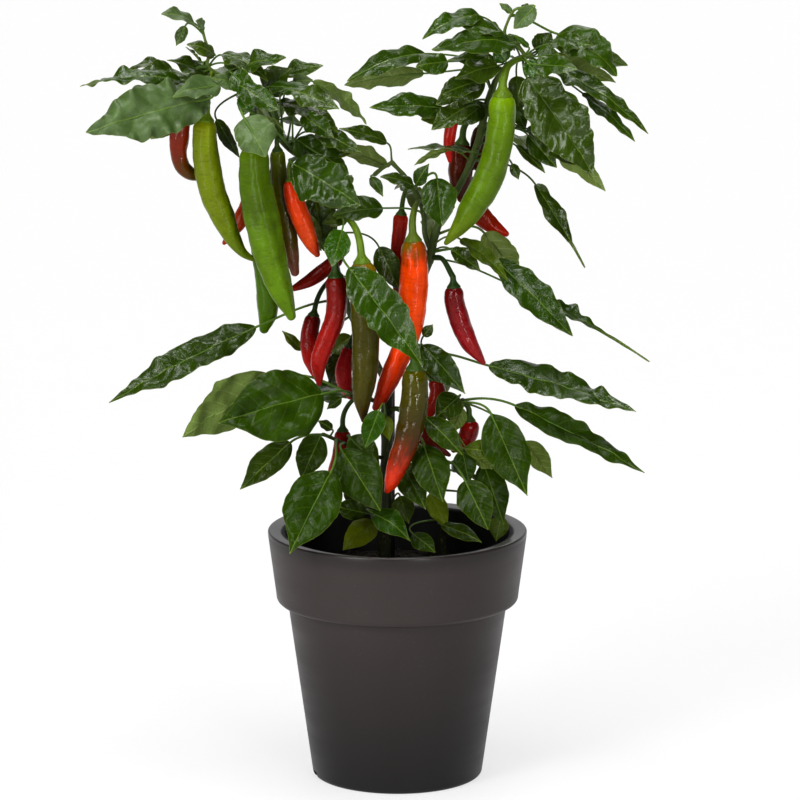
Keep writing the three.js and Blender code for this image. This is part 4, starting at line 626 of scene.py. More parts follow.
def ripple(a, b, seed, waves=4):
    """A smooth uneven value between about -1 and 1 over two coordinates."""
    draws = np.random.default_rng(seed)
    total = 0
    for _ in range(waves):
        turn = draws.uniform(0, FULL_TURN)
        pace = draws.uniform(0.7, 1.4)
        shift = draws.uniform(0, FULL_TURN)
        total = total + np.sin(FULL_TURN * pace * (a * math.cos(turn) + b * math.sin(turn)) + shift)
    return total / waves * 1.4


# Meshes

class Skin:
    """Corners, faces and values per corner, gathered for one piece."""

    def __init__(self):
        self.corners = []
        self.faces = []
        self.values = {}
        self.count = 0

    def add(self, rings, **values):
        """Adds rings of points, joined into a tube with closed ends."""
        rows, columns = rings.shape[:2]
        here = np.arange(rows * columns).reshape(rows, columns) + self.count
        beside = np.roll(here, -1, axis=1)
        quads = np.stack([here[:-1], beside[:-1], beside[1:], here[1:]], axis=-1).reshape(-1, 4)
        self.faces.extend([*quads.tolist(), here[0, ::-1].tolist(), here[-1].tolist()])
        self.corners.append(rings.reshape(-1, 3))
        for name, value in values.items():
            wide = np.broadcast_to(value, (rows, columns, 3)).reshape(-1, 3)
            self.values.setdefault(name, []).append(wide)
        self.count += rows * columns

    def tube(self, rings, path, tint):
        """Adds a tube with its length, its way round and its colour at each corner."""
        angles = around(rings.shape[1])
        measure = together(arc_lengths(path)[:, None], np.cos(angles), np.sin(angles))
        self.add(rings, measure=measure, tint=tint)

    def mesh(self, name):
        """The mesh, in metres."""
        mesh = bpy.data.meshes.new(name)
        mesh.from_pydata(np.vstack(self.corners) * MM, [], self.faces)
        return mesh

    def piece(self, name, material, node, sharp=50):
        """Makes the object, hangs it under the root body and hides the CAD node it stands for."""
        mesh = self.mesh(name)
        for label, lots in self.values.items():
            layer = mesh.attributes.new(label, "FLOAT_VECTOR", "POINT")
            layer.data.foreach_set("vector", np.vstack(lots).astype(np.float32).ravel())
        mesh.polygons.foreach_set("use_smooth", [True] * len(mesh.polygons))
        mesh.set_sharp_from_angle(angle=math.radians(sharp))
        mesh.materials.append(material)
        made = placed(name, mesh)
        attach(made, "root")
        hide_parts(node)
        return made


def placed(name, data):
    """A new object in the scene."""
    made = bpy.data.objects.new(name, data)
    bpy.context.scene.collection.objects.link(made)
    return made


def tube_rings(path, radii, sides):
    """Rings of points about a path. radii is one number for each ring, or for each ring and side."""
    tangents = unit(np.gradient(path, axis=0))
    side = unit(np.cross(tangents[0], [0.3, -1, 0.2]))
    angles = around(sides)
    radii = np.reshape(radii, (len(path), -1))
    rings = []
    for point, tangent, radius in zip(path, tangents, radii):
        side = unit(side - tangent * np.dot(side, tangent))
        other = np.cross(tangent, side)
        turned = np.cos(angles)[:, None] * side + np.sin(angles)[:, None] * other
        rings.append(point + turned * radius[:, None])
    return np.array(rings)


# Materials

def formula(operation, swapped=False):
    """A method that puts a math node between a value and another one."""
    def method(self, other=0.0):
        first, second = (other, self) if swapped else (self, other)
        inputs = {0: first, 1: second}
        return self.nodes.out("Math", 0, inputs, operation=operation)
    return method


class Value:
    """The output of a node, which formulas can be written with."""

    def __init__(self, nodes, socket):
        self.nodes = nodes
        self.socket = socket

    __add__ = formula("ADD")
    __sub__ = formula("SUBTRACT")
    __rsub__ = formula("SUBTRACT", swapped=True)
    __mul__ = formula("MULTIPLY")
    __truediv__ = formula("DIVIDE")
    __abs__ = formula("ABSOLUTE")
    below = formula("LESS_THAN")
    larger = formula("MAXIMUM")
    fraction = formula("FRACT")
    sine = formula("SINE")
    root = formula("SQRT")


class Nodes:
    """Short ways to add nodes to a node tree."""

    def __init__(self, tree, surface):
        self.tree = tree
        self.surface = tree.nodes[surface]

    def feed(self, socket, value):
        if isinstance(value, Value):
            self.tree.links.new(value.socket, socket)
        else:
            socket.default_value = value

    def set(self, **values):
        """Sets inputs of the surface. Their names are written with _ for a space."""
        for name, value in values.items():
            self.feed(self.surface.inputs[name.replace("_", " ")], value)

    def node(self, kind, inputs, **settings):
        node = self.tree.nodes.new("ShaderNode" + kind)
        for name, value in settings.items():
            setattr(node, name, value)
        for key, value in inputs.items():
            self.feed(node.inputs[key], value)
        return node

    def out(self, kind, output, inputs, **settings):
        """Adds a node and gives back one of its outputs."""
        return Value(self, self.node(kind, inputs, **settings).outputs[output])

    def spread(self, value, low, high, to_low=0.0, to_high=1.0):
        """Maps value from low..high to to_low..to_high, smoothly and without overshoot."""
        inputs = {"Value": value, 1: low, 2: high, 3: to_low, 4: to_high}
        return self.out("MapRange", 0, inputs, interpolation_type="SMOOTHSTEP")

    def fade(self, value, low, high):
        """1 where value is low, 0 where it is high."""
        return self.spread(value, low, high, 1.0, 0.0)

    def mix(self, share, a, b, blend="MIX"):
        return self.out("Mix", 2, {0: share, 6: a, 7: b}, data_type="RGBA", blend_type=blend)

    def layer(self, base, share, code):
        """base with a share of a plain colour over it."""
        return self.mix(share, base, colour(code))

    def darkened(self, base, pattern, code, share=1.0):
        """base times a colour where the pattern is low."""
        shade = self.ramp(pattern, [(0.3, code), (0.7, WHITE)])
        return self.mix(share, base, shade, "MULTIPLY")

    def noise(self, vector, scale, detail=3.0):
        inputs = {"Vector": vector, "Scale": scale, "Detail": detail, "Roughness": 0.55}
        return self.out("TexNoise", "Fac", inputs)

    def cells(self, vector, scale):
        """Distance to the edges of uneven cells."""
        inputs = {"Vector": vector, "Scale": scale}
        return self.out("TexVoronoi", "Distance", inputs, feature="DISTANCE_TO_EDGE")

    def place(self):
        return self.out("TexCoord", "Object", {})

    def value(self, name):
        return self.out("Attribute", "Vector", {}, attribute_name=name)

    def split(self, vector):
        return [Value(self, output) for output in self.node("SeparateXYZ", {0: vector}).outputs]

    def joined(self, x, y, z):
        return self.out("CombineXYZ", 0, {0: x, 1: y, 2: z})

    def skin(self, wide, tall, shift=0.0):
        """The place on a tube's skin, scaled round it and along it."""
        along, turn_x, turn_y = self.split(self.value("measure"))
        return self.joined(turn_x * wide, turn_y * wide, along * tall + shift)

    def ramp(self, factor, stops):
        node = self.node("ValToRGB", {0: factor})
        elements = node.color_ramp.elements
        for element, (position, code) in zip(elements, (stops[0], stops[-1])):
            element.position = position
            element.color = colour(code)
        for position, code in stops[1:-1]:
            elements.new(position).color = colour(code)
        return Value(self, node.outputs[0])

    def bump(self, height, millimetres, before=None):
        inputs = {"Height": height, "Distance": millimetres * MM, "Strength": 1.0}
        if before is not None:
            inputs["Normal"] = before
        return self.out("Bump", 0, inputs)


class Look(Nodes):
    """A node material, with the values that are the same all over it."""

    def __init__(self, name, **constants):
        self.material = bpy.data.materials.new(name)
        self.material.use_nodes = True
        super().__init__(self.material.node_tree, "Principled BSDF")
        self.set(**constants)

    def finish(self, base, roughness, normal):
        self.set(Base_Color=base, Roughness=roughness, Normal=normal)
        return self.material


# Leaves

def stem_path(name):
    return [sight(point) for point in STEMS[name]["points"]]


def stem_point(name, place):
    return smooth(stem_path(name), place)[0]


class Blade:
    """The bent sheet of one leaf, as a function of t along it and v across it, from -1 to 1."""

    def __init__(self, row):
        self.stem, self.place, base, tip, self.width, face, self.tone, *more = row
        options = more[0] if more else {}
        self.twist = math.radians(options.get("twist", 0))
        self.wave = options.get("wave", 0.8)
        self.seed = LEAVES.index(row)
        self.base = sight(base)
        self.chord = sight(tip) - self.base
        self.length = np.linalg.norm(self.chord)
        self.arch = options.get("arch", BOW_SHARE * self.length)
        self.along = self.chord / self.length
        turn = math.radians(face)
        up = np.array([0, -math.cos(turn), math.sin(turn)])
        self.up = unit(up - self.along * np.dot(up, self.along))
        self.across = np.cross(self.along, self.up)
        self.vein_gap = self.length / (4.4 + self.length / 34)
        self.quilt = 0.12 * self.vein_gap * (0.7 if options.get("quilt") else 0.4)

        self.wavy = max(np.interp(self.base[2], *CALM_BY_HEIGHT), min(0.38 * self.wave, 1.1))
        self.buckle = 0.45 + 0.048 * self.width
        self.ruffle = (0.6 + 0.085 * self.width) * self.wavy
        self.tail = self.wave >= 3 and self.width < 19
        draws = np.random.default_rng(self.seed + 900)
        self.fullness = draws.uniform(0.46, 0.62) + 0.2 * (1 - min(self.wavy, 1))
        self.pointed = draws.uniform(0.12, 0.42)
        self.lean = draws.uniform(-0.07, 0.07)
        self.curl = draws.uniform(-0.05, 0.22)
        self.ruffle_length = draws.uniform(13, 19)

    def uneven(self, t, across, pace, extra, waves=4):
        """A ripple of its own for each leaf. pace is the length of its waves along the blade."""
        return ripple(t * self.length / pace, across, self.seed + extra, waves)

    def outline(self, t):
        """Share of the full width: broadest below the middle, drawn out to a point."""
        t = np.asarray(t, float)
        if self.tail:
            t = np.clip(t / TAIL_START, 0, 1)
        fall = self.fullness * (1 - BROADEST) / BROADEST
        near_tip = step(t, 0.62, 0.95)
        drawn = 1 - self.pointed * near_tip**2 * (3 - 2 * near_tip)
        return (t / BROADEST)**self.fullness * ((1 - t) / (1 - BROADEST))**fall * drawn

    def vein_count(self, t, v, side, half):
        """How many side veins lie behind a place, counted along the blade, a whole number on a vein."""
        forward = VEIN_SLOPE * side + VEIN_BEND * side**2 / half
        stray = 0.13 * self.uneven(t, np.sign(v) * 0.6, 28, 200)
        return (t * self.length - forward) / self.vein_gap + stray + np.where(v < 0, 0.5, 0)

    def half(self, t, v):
        """Half width towards v, fuller between the side veins, and a little uneven."""
        plain = np.maximum(self.width / 2 * self.outline(t), 0.35 + 1.5 * self.tail * (1 - t)**0.5)
        hand = np.sign(v)
        scallop = np.abs(np.sin(math.pi * self.vein_count(t, v, plain, plain)))**0.8 - 0.55
        uneven = self.uneven(t, hand * 0.8, 21, 0)
        return plain * (1 + self.lean * hand + self.wavy * (0.08 * scallop + 0.13 * uneven))

    def midrib(self, t):
        t = np.asarray(t, float)[..., None]
        return self.base + self.chord * t + self.up * self.arch * 4 * t * (1 - t)

    def lift(self, t, v, half):
        """Height over the flat blade: folded, waved, buckled, and quilted between the veins."""
        far = np.abs(v)
        side = far * half
        edge = np.clip(half / 6, 0, 1)
        wave = self.wave * v**2 * self.outline(t) * np.sin(FULL_TURN * 2.2 * t + np.where(v < 0, 2, 0))
        ruffle = self.ruffle * v**2 * self.uneven(t, 0.7 * np.sign(v), self.ruffle_length, 300)
        buckle = self.buckle * self.uneven(t, v * half / 19, 26, 500)
        crease = 0.009 * self.width * self.uneven(t, v * half / 9, 11, 700, 7)
        groove = -0.35 * np.exp(-(side / 1.2)**2)
        pillow = np.abs(np.sin(math.pi * self.vein_count(t, v, side, half))) - 0.6
        uneven = 1 + 0.6 * self.uneven(t, v * half / 14, 17, 800)
        inside = step(far, 0, 0.2) * (1 - 0.5 * step(far, 0.75, 1))
        return (FOLD * side + wave + edge * (ruffle + buckle + crease + groove)
                - self.curl * half * v**4
                + self.quilt * pillow * uneven * inside * np.clip(half / 8, 0, 1))

    def sheet(self):
        """Rings of points round the blade: over the top from left to right, back underneath."""
        rows = int(np.clip(self.length / BLADE_FACET, 16, 74))
        columns = int(np.clip(self.width / BLADE_FACET, 10, 34)) // 2 * 2
        steps = np.linspace(0, 1, rows)
        t = (0.6 * steps + 0.2 * (1 - np.cos(math.pi * steps)))[:, None]
        top = np.linspace(-1, 1, columns + 1)
        v = np.concatenate([top, top[::-1]])[None, :]
        under = np.repeat([0.0, 1.0], columns + 1)[None, :]
        half = self.half(t, v)
        turn = (self.twist * (t - 0.5))[..., None]
        outward = self.across * np.cos(turn) - self.up * np.sin(turn)
        upward = self.up * np.cos(turn) + self.across * np.sin(turn)
        lift = self.lift(t, v, half) + BLADE_THICKNESS * (0.5 - under)
        points = (self.midrib(t[:, 0])[:, None, :] + outward * (v * half)[..., None]
                  + upward * lift[..., None])
        return points, together(t * self.length, v * half, half), under

    def petiole(self):
        """The leaf's stalk from its stem, then on below the midrib, and the radius at each point."""
        foot = stem_point(self.stem, self.place)
        reach = np.linalg.norm(self.base - foot)
        heading = unit(self.chord + self.up * 4 * self.arch)
        rise = mixed(foot, self.base, 0.35) + UP * 0.12 * reach
        arrive = self.base - heading * 0.35 * reach
        stalk = bezier(foot, rise, arrive, self.base, STALK_RINGS)
        thick = 1.1 if self.width > 20 else 0.85
        stalk_radii = thick * (0.82 + 0.5 * np.exp(-np.linspace(0, 8, STALK_RINGS)))
        t = np.linspace(0.04, 0.9, RIB_RINGS)
        rib_radii = thick * 0.75 * (1 - t)**0.8
        rib = self.midrib(t) - self.up * (0.35 + 0.7 * rib_radii)[:, None]
        return np.vstack([stalk, rib]), np.concatenate([stalk_radii, rib_radii])


def leaf_pieces(node, leaves, looks):
    """The blades of a node, each with its own shade of green, and painted shade low in the plant."""
    blades = Skin()
    for blade in map(Blade, leaves):
        points, measure, under = blade.sheet()
        top, gloss, _ = LEAF_TONES[blade.tone]
        deep = np.interp(blade.base[2], *PAINTED_SHADE_BY_HEIGHT)
        tint = tint_of(top) * deep * SHADES.uniform(0.88, 1.12) * SHADES.uniform(0.95, 1.05, 3)
        growth = [blade.vein_gap, *SHADES.uniform(size=2)]
        blades.add(points, measure=measure, growth=growth, tint=tint,
                   finish=together(under, gloss, 0))
    look = looks["low leaf" if node in LOW_NODES else "leaf"]
    blades.piece(node + "_blades", look, node)


# Stems with their leaf stalks, and pod stalks with their caps

def add_stem(skin, name):
    """A stem that swells where leaves and pods grow on it, with a rounded end."""
    points = stem_path(name)
    last = len(points) - 1
    total = arc_lengths(smooth(points, np.linspace(0, last, 200)))[-1]
    path = evenly(smooth(points, np.linspace(0, last, last * 20)), int(total / STEM_RING_GAP))
    radii = np.linspace(*STEMS[name]["radius"], len(path))
    swelling = np.zeros(len(path))
    feet = [row[1] for row in LEAVES if row[0] == name] + [row[3] for row in PODS if row[2] == name]
    for foot in feet:
        distance = np.linalg.norm(path - stem_point(name, foot), axis=1)
        swelling = np.maximum(swelling, SWELLING * np.exp(-(distance / SWELLING_REACH)**2))
    along = arc_lengths(path)[:, None]
    uneven = 0.04 * ripple(along / 30, np.sin(around(STEM_SIDES)), len(name))
    radii = radii[:, None] * (1 + swelling[:, None] + uneven)
    tint = stem_tint(path[:, 2])
    skin.tube(tube_rings(path, radii, STEM_SIDES), path, tint)
    end = radii[-1].mean()
    dome = unit(path[-1] - path[-2]) * end
    tip = path[-1] + np.outer([0, 0.6, 1], dome)
    skin.tube(tube_rings(tip, end * np.array([1, 0.8, 0.3]), STEM_SIDES), tip, tint[-3:])


def stem_tint(heights):
    """Grey-brown low down, greener with height."""
    places = [height for height, _ in STEM_TONES]
    return rows_at(heights, places, [tint_of(code) for _, code in STEM_TONES])[:, None, :]


def stem_pieces(node, leaves, pods, looks):
    """The stems of a node, its leaf stalks and its pod caps."""
    wood = Skin()
    for name, stem in STEMS.items():
        if stem["node"] == node:
            add_stem(wood, name)
    wood.piece(node + "_stems", looks["stem"], node)
    if leaves:
        stalks = Skin()
        for blade in map(Blade, leaves):
            path, radii = blade.petiole()
            tint = tint_of(LEAF_TONES[blade.tone][2]) * SHADES.uniform(0.9, 1.1)
            stalks.tube(tube_rings(path, radii, STALK_SIDES), path, tint)
        stalks.piece(node + "_leaf_stalks", looks["stalk"], node)
    if pods:
        caps = Skin()
        for row in pods:
            add_cap(caps, row)
        caps.piece(node + "_caps", looks["stalk"], node)


def pod_line(row):
    """Points [x, y, z, radius] down the middle of a pod."""
    return np.array([[*sight(point), point[3]] for point in row[5]])


def add_cap(skin, row):
    """A pod's stalk, which widens into the cap with its teeth."""
    name, tone, stem, place, way, line = row
    shoulder = sight(line[0])
    wide = line[0][3]
    start, ahead = smooth(pod_line(row)[:, :3], [0, 0.02])
    axis = unit(ahead - start)
    cap_top = shoulder - axis * CAP_HEIGHT * wide
    foot = stem_point(stem, place)
    if way:
        points = [foot, *map(sight, way), cap_top]
        stalk = smooth(points, np.linspace(0, len(points) - 1, POD_STALK_POINTS))
    else:
        reach = np.linalg.norm(cap_top - foot)
        leave = mixed(foot, cap_top, 0.25) + UP * 0.2 * reach
        arrive = cap_top - axis * 0.45 * reach
        stalk = bezier(foot, leave, arrive, cap_top, POD_STALK_POINTS)
    stalk = evenly(stalk, POD_STALK_RINGS)
    heights, widths = np.transpose(CAP_SECTION)
    share = np.linspace(0, 1, POD_STALK_RINGS)
    stalk_radii = mixed(POD_STALK_RADIUS, widths[0] * wide, share**0.7) + 0.6 * np.exp(-share * 14)
    path = np.vstack([stalk, shoulder + axis * (heights * wide)[:, None]])
    rings = tube_rings(path, np.concatenate([stalk_radii, widths * wide]), CAP_SIDES)
    teeth = 0.10 * wide * np.maximum(np.cos(CAP_TEETH * around(CAP_SIDES) + len(name)), -0.3)
    rings[-3:] += axis * teeth[:, None]
    skin.tube(rings, path, tint_of(CAP_TONES.get(tone, CAP_GREEN)) * SHADES.uniform(0.92, 1.08))


# Pods

def pod_piece(row, look):
    """One pod: a rounded shoulder, ridges, dents, and a rounded tip below the line's last point."""
    name = row[0]
    line = pod_line(row)
    wide, tip_radius = line[0, 3], line[-1, 3]
    path = smooth(line, np.linspace(0, len(line) - 1, POD_LINE_POINTS))
    lengths = arc_lengths(path[:, :3])
    total = lengths[-1]
    above = POD_SHOULDER * wide
    down = np.concatenate([
        np.linspace(-above, 0, 4)[:-1],
        np.linspace(0, total, POD_RINGS),
        total + tip_radius * np.array([0.25, 0.5, 0.7, 0.8])])
    body = rows_at(down, lengths, path)
    first, end = down < 0, down > total
    body[first, :3] += unit(path[1, :3] - path[0, :3]) * down[first][:, None]
    body[end, :3] += unit(path[-1, :3] - path[-2, :3]) * (down[end] - total)[:, None]
    body[end, 3] = tip_radius * np.array([0.93, 0.76, 0.5, 0.25])
    rise = np.clip((down + above) / (0.75 * wide), 0, 1)
    bulge = 1 + 0.07 * np.exp(-((down - 0.75 * wide) / (0.7 * wide))**2)
    radius = body[:, 3] * np.sqrt(1 - 0.62 * (1 - rise)**2) * bulge
    angles = around(POD_SIDES)
    seed = len(name) * 7 + int(total)
    ridges, depth = POD_RIDGES.get(name, PLAIN_RIDGES)
    down = down[:, None]
    folds = depth * np.cos(ridges * angles + 2 * down / 90)
    dents = (0.022 * ripple(down / 22, 1.5 * np.sin(angles), seed)
             + 0.02 * ripple(down / 9, 1.5 * np.cos(angles), seed + 1)
             + 0.006 * ripple(down / 3.2, 3.0 * np.cos(angles), seed + 2))
    rings = tube_rings(body[:, :3], radius[:, None] * (1 + folds + dents), POD_SIDES)
    skin = Skin()
    skin.add(rings, measure=together(down, np.cos(angles), np.sin(angles)),
             growth=(down / total)[..., None])
    skin.piece(name + "_skin", look, name)


# Materials of the plant

def leaf_look(name, shine):
    look = Look(name, IOR=1.45, Specular_IOR_Level=shine)
    along, across, half = look.split(look.value("measure"))
    gap, chance, _ = look.split(look.value("growth"))
    under, gloss, _ = look.split(look.value("finish"))
    tint = look.value("tint")
    side = abs(across)
    share = side / half

    # Side veins leave the midrib forwards and bend on towards the edge.
    forward = side * VEIN_SLOPE + share * side * VEIN_BEND
    stray = look.noise(look.place(), 140.0, 2.0) * 0.9
    run = (along + stray - forward) / gap
    phase = (run + across.below(0.0) * 0.5).fraction()
    to_vein = (0.5 - abs(phase - 0.5)) * gap
    vein = look.fade(to_vein, 0.12, 0.55) * look.spread(share, 0.3, 1.0, 1.0, 0.25)
    midrib = look.fade(side, 0.2, 0.6)

    # A fine net between the veins
    flat = look.joined(along, across, chance * 60.0)
    net = look.fade(look.cells(flat, 0.42), 0.0, 0.16)
    fine_net = look.fade(look.cells(flat, 1.1), 0.0, 0.2)
    grain = look.noise(flat, 1.5, 2.0)

    # The upper face is paler on its veins and net, in small specks and at the very edge.
    paler = look.layer(tint, 0.5, 0x7f9440)
    top = look.darkened(tint, look.noise(flat, 0.06, 4.0), 0xc4c8b8)
    top = look.mix(vein * 0.24, top, paler)
    top = look.layer(top, midrib * 0.42, 0x748a34)
    top = look.mix(net * 0.06, top, paler)
    top = look.layer(top, look.spread(grain, 0.68, 0.75) * 0.10, 0x8c9a50)
    top = look.layer(top, look.fade(half - side, 0.1, 0.7) * 0.22, 0x849038)

    # The lower face is pale and dull.
    back = look.layer(tint, 0.6, 0x6c7c38)
    back = look.layer(back, vein.larger(midrib) * 0.4, 0x98a868)
    back = look.layer(back, net * 0.14, 0x94a26c)
    roughness = gloss * -0.31 + 0.37 + look.noise(flat, 0.25) * 0.10 + under * 0.18

    height = (phase * math.pi).sine() * 0.25 + net * -0.2 + look.noise(flat, 0.22, 2.0) * 0.3
    small = fine_net * -0.6 + grain * 0.5
    normal = look.bump(small, 0.024, look.bump(height, 0.34))
    return look.finish(look.mix(under, top, back), roughness, normal)


def stem_look():
    look = Look("stem_bark", IOR=1.45, Specular_IOR_Level=0.3)
    streaks = look.noise(look.skin(3.0, 0.05), 1.6, 4.0)
    spots = look.noise(look.place(), 420.0)
    base = look.darkened(look.value("tint"), streaks, 0xb4ac98)
    base = look.layer(base, look.spread(spots, 0.58, 0.7) * 0.3, 0x8d8660)
    roughness = look.spread(streaks, 0.2, 0.8, 0.42, 0.62)
    normal = look.bump(spots, 0.12, look.bump(streaks, 0.5))
    return look.finish(base, roughness, normal)


def stalk_look():
    look = Look("leaf_stalk", IOR=1.45, Specular_IOR_Level=0.3)
    streaks = look.noise(look.skin(2.0, 0.12), 1.5)
    grain = look.noise(look.place(), 700.0, 2.0)
    base = look.darkened(look.value("tint"), streaks, 0xb9c2a0)
    roughness = look.spread(grain, 0.3, 0.7, 0.34, 0.5)
    normal = look.bump(grain, 0.05, look.bump(streaks, 0.25))
    return look.finish(base, roughness, normal)


def pod_look(name):
    rough, *stops = POD_COLOURS[name]
    shine = SOFT_POD_SHINE if rough > SOFT_POD else POD_SHINE
    look = Look(name + "_look", IOR=1.42, Specular_IOR_Level=shine)
    shift = len(name) + 3.0 * stops[0][1] % 17

    # Streaks and clouds, shifted for each pod, move its colours up and down.
    streaks = look.noise(look.skin(2.2, 0.025, shift), 1.6)
    cloud = look.noise(look.skin(1.0, 0.06, shift), 1.1)
    share, _, _ = look.split(look.value("growth"))
    moved = share + (streaks - 0.5) * 0.22 + (cloud - 0.5) * 0.30
    base = look.darkened(look.ramp(moved, stops), cloud, 0xd2ccc4, 0.7)

    # Fine creases across the pod, with painted shade along their hollows
    crease = look.noise(look.skin(1.1, 0.42, shift), 1.0, 2.0)
    base = look.layer(base, look.fade(crease, 0.36, 0.44) * 0.14, 0x20140c)
    waxy = look.noise(look.place(), 70.0)
    roughness = look.spread(waxy, 0.3, 0.7, rough - 0.06, rough + 0.03)
    normal = look.bump(cloud, 0.7, look.bump(crease, 0.4))
    normal = look.bump(look.noise(look.place(), 900.0, 2.0), 0.03, normal)
    return look.finish(base, roughness, normal)


# Pot, soil, stake

def pot_look():
    look = Look("pot_plastic_look", IOR=1.5, Specular_IOR_Level=0.38)
    place = look.place()
    x, y, z = look.split(place)
    cloud = look.noise(place, 14.0, 4.0)
    smear = look.noise(look.joined(x * 9.0, y * 9.0, z * 60.0), 1.0, 4.0)
    dust = look.spread(look.noise(place, 520.0, 2.0), 0.66, 0.74)
    base = look.mix(cloud, colour(0x312928), colour(0x372f2e))
    base = look.layer(base, dust * 0.08, 0x8a8480)

    # Painted shade: darker towards the foot, and at the top of the rim as a painted dark reflection
    base = look.layer(base, look.spread(z, *PAINTED_FOOT_SHADE, 0.97, 0.0), PAINTED_POT_SHADE)
    base = look.layer(base, look.spread(z, *PAINTED_RIM_SHADE, 0.0, 0.55), PAINTED_POT_SHADE)

    # Painted shade: the inside, and the inner edge of the rim, are painted nearly black and made
    # duller.
    inner = look.fade((x * x + y * y).root(), *MOUTH_EDGE) * look.spread(z, *INSIDE_SHADE_FROM)
    base = look.layer(base, inner * 0.97, 0x050505)
    worn = look.spread(smear, 0.3, 0.7, 0.36, 0.44) + cloud * 0.06
    roughness = worn + inner * 0.5 + look.spread(z, *RIM_TOP) * -0.1
    normal = look.bump(smear, 0.08, look.bump(look.noise(place, 1400.0, 2.0), 0.02))
    return look.finish(base, roughness, normal)


def soil_look():
    look = Look("soil_look", IOR=1.4)
    place = look.place()
    crumbs = look.noise(place, 420.0, 4.0)
    dry = look.spread(look.noise(place, 60.0, 5.0), 0.55, 0.7)
    base = look.ramp(crumbs, [(0.25, 0x0d0a07), (0.5, 0x1d1710), (0.72, 0x3a2e1f)])
    base = look.layer(base, dry * 0.4, 0x2a2118)
    roughness = look.spread(crumbs, 0.3, 0.7, 0.75, 0.95)
    normal = look.bump(look.cells(place, 260.0), 0.6, look.bump(crumbs, 1.6))
    return look.finish(base, roughness, normal)


def stake_look():
    look = Look("stake_look", IOR=1.5)
    x, y, z = look.split(look.place())
    streaks = look.noise(look.joined(x * 500.0, y * 500.0, z * 20.0), 1.0)
    base = look.mix(streaks, colour(0x121213), colour(0x222224))
    roughness = look.spread(streaks, 0.3, 0.7, 0.22, 0.36)
    return look.finish(base, roughness, look.bump(streaks, 0.05))


def arc_points(x, z, radius, start, end, steps):
    turns = np.radians(np.linspace(start, end, steps))
    return [[x + radius * math.cos(a), z + radius * math.sin(a)] for a in turns]


def wall_points(foot, top, steps):
    """A straight wall, both ends included."""
    return [mixed(np.array(foot), np.array(top), k / steps) for k in range(steps + 1)]


def pot_profile():
    """The pot in section, from the middle of its foot up the outside and down the inside."""
    return np.array([
        [0.5, 0], [21, 0], *arc_points(21, 1, 1, -90, 0, 4), [22.4, 4.4], [23, 5], [53.4, 5], [54, 4.4],
        [54, 1], *arc_points(55, 1, 1, 180, 270, 4), *arc_points(62.1, 3.8, 3.8, -90, -6, 12),
        *wall_points([66.1, 5], [84.7, 138], 12),
        [89.6, 188.6], [94.6, 189.6], [90.6, 146], [89.2, 142.6], [86.6, 141.4], [86.0, 140.4],
        [86.2, 138.6], [87.2, 138], *arc_points(89.2, 142.2, 4.2, -90, -6, 12),
        *wall_points([93.5, 143.5], [99.6, 189.4], 8),
        *arc_points(98.2, 192.4, 1.6, 4, 88, 8), [97, 193.8],
        *arc_points(87.9, 190.2, 1.7, 102, 174, 8), [86.2, 182], [84.3, 162],
        *wall_points([82.2, 141], [64.3, 12], 8),
        [63.4, 9.6], [60.7, 8], [21, 8], [20.2, 7.2], [20, 3.4], [19.4, 3], [0.5, 3],
    ])


def pot_piece(look):
    reach, height = pot_profile().T[..., None]
    angles = around(POT_SIDES)
    skin = Skin()
    skin.add(together(reach * np.cos(angles), reach * np.sin(angles), height))
    cut(skin.piece("pot_shell", look, "pot", sharp=40), pot_cutters())


def pot_cutters():
    """The foot notches, the drain holes and the pin holes in the rim, as solids."""
    cutters = Skin()
    for turn in NOTCH_TURN + around(NOTCH_COUNT):
        ahead = np.array([math.cos(turn), math.sin(turn), 0])
        aside = np.array([-math.sin(turn), math.cos(turn), 0]) * NOTCH_WIDTH / 2
        high = UP * NOTCH_HEIGHT
        section = np.array([-aside - high, aside - high, aside + high, high - aside])
        cutters.add(np.array([section + ahead * reach for reach in NOTCH_REACH]))
    for turn in around(DRAIN_HOLE_COUNT):
        x, y = DRAIN_CIRCLE_RADIUS * math.cos(turn), DRAIN_CIRCLE_RADIUS * math.sin(turn)
        add_hole(cutters, x, y, DRAIN_HOLE_HEIGHTS, DRAIN_HOLE_RADIUS, DRAIN_HOLE_SIDES)
    for x, y in RIM_DOTS:
        add_hole(cutters, x, y, RIM_DOT_HEIGHTS, RIM_DOT_RADIUS, RIM_DOT_SIDES)
    return cutters


def add_hole(cutters, x, y, heights, radius, sides):
    path = np.array([[x, y, height] for height in heights])
    cutters.add(tube_rings(path, [radius] * 2, sides))


def cut(made, cutters):
    """Takes the cutters' solids out of a piece."""
    tool = placed("cutters", cutters.mesh("cutters"))
    modifier = made.modifiers.new("cut", "BOOLEAN")
    modifier.object = tool
    modifier.operation = "DIFFERENCE"
    modifier.solver = "EXACT"
    graph = bpy.context.evaluated_depsgraph_get()
    result = bpy.data.meshes.new_from_object(made.evaluated_get(graph))
    made.modifiers.clear()
    made.data = result
    bpy.data.objects.remove(tool)


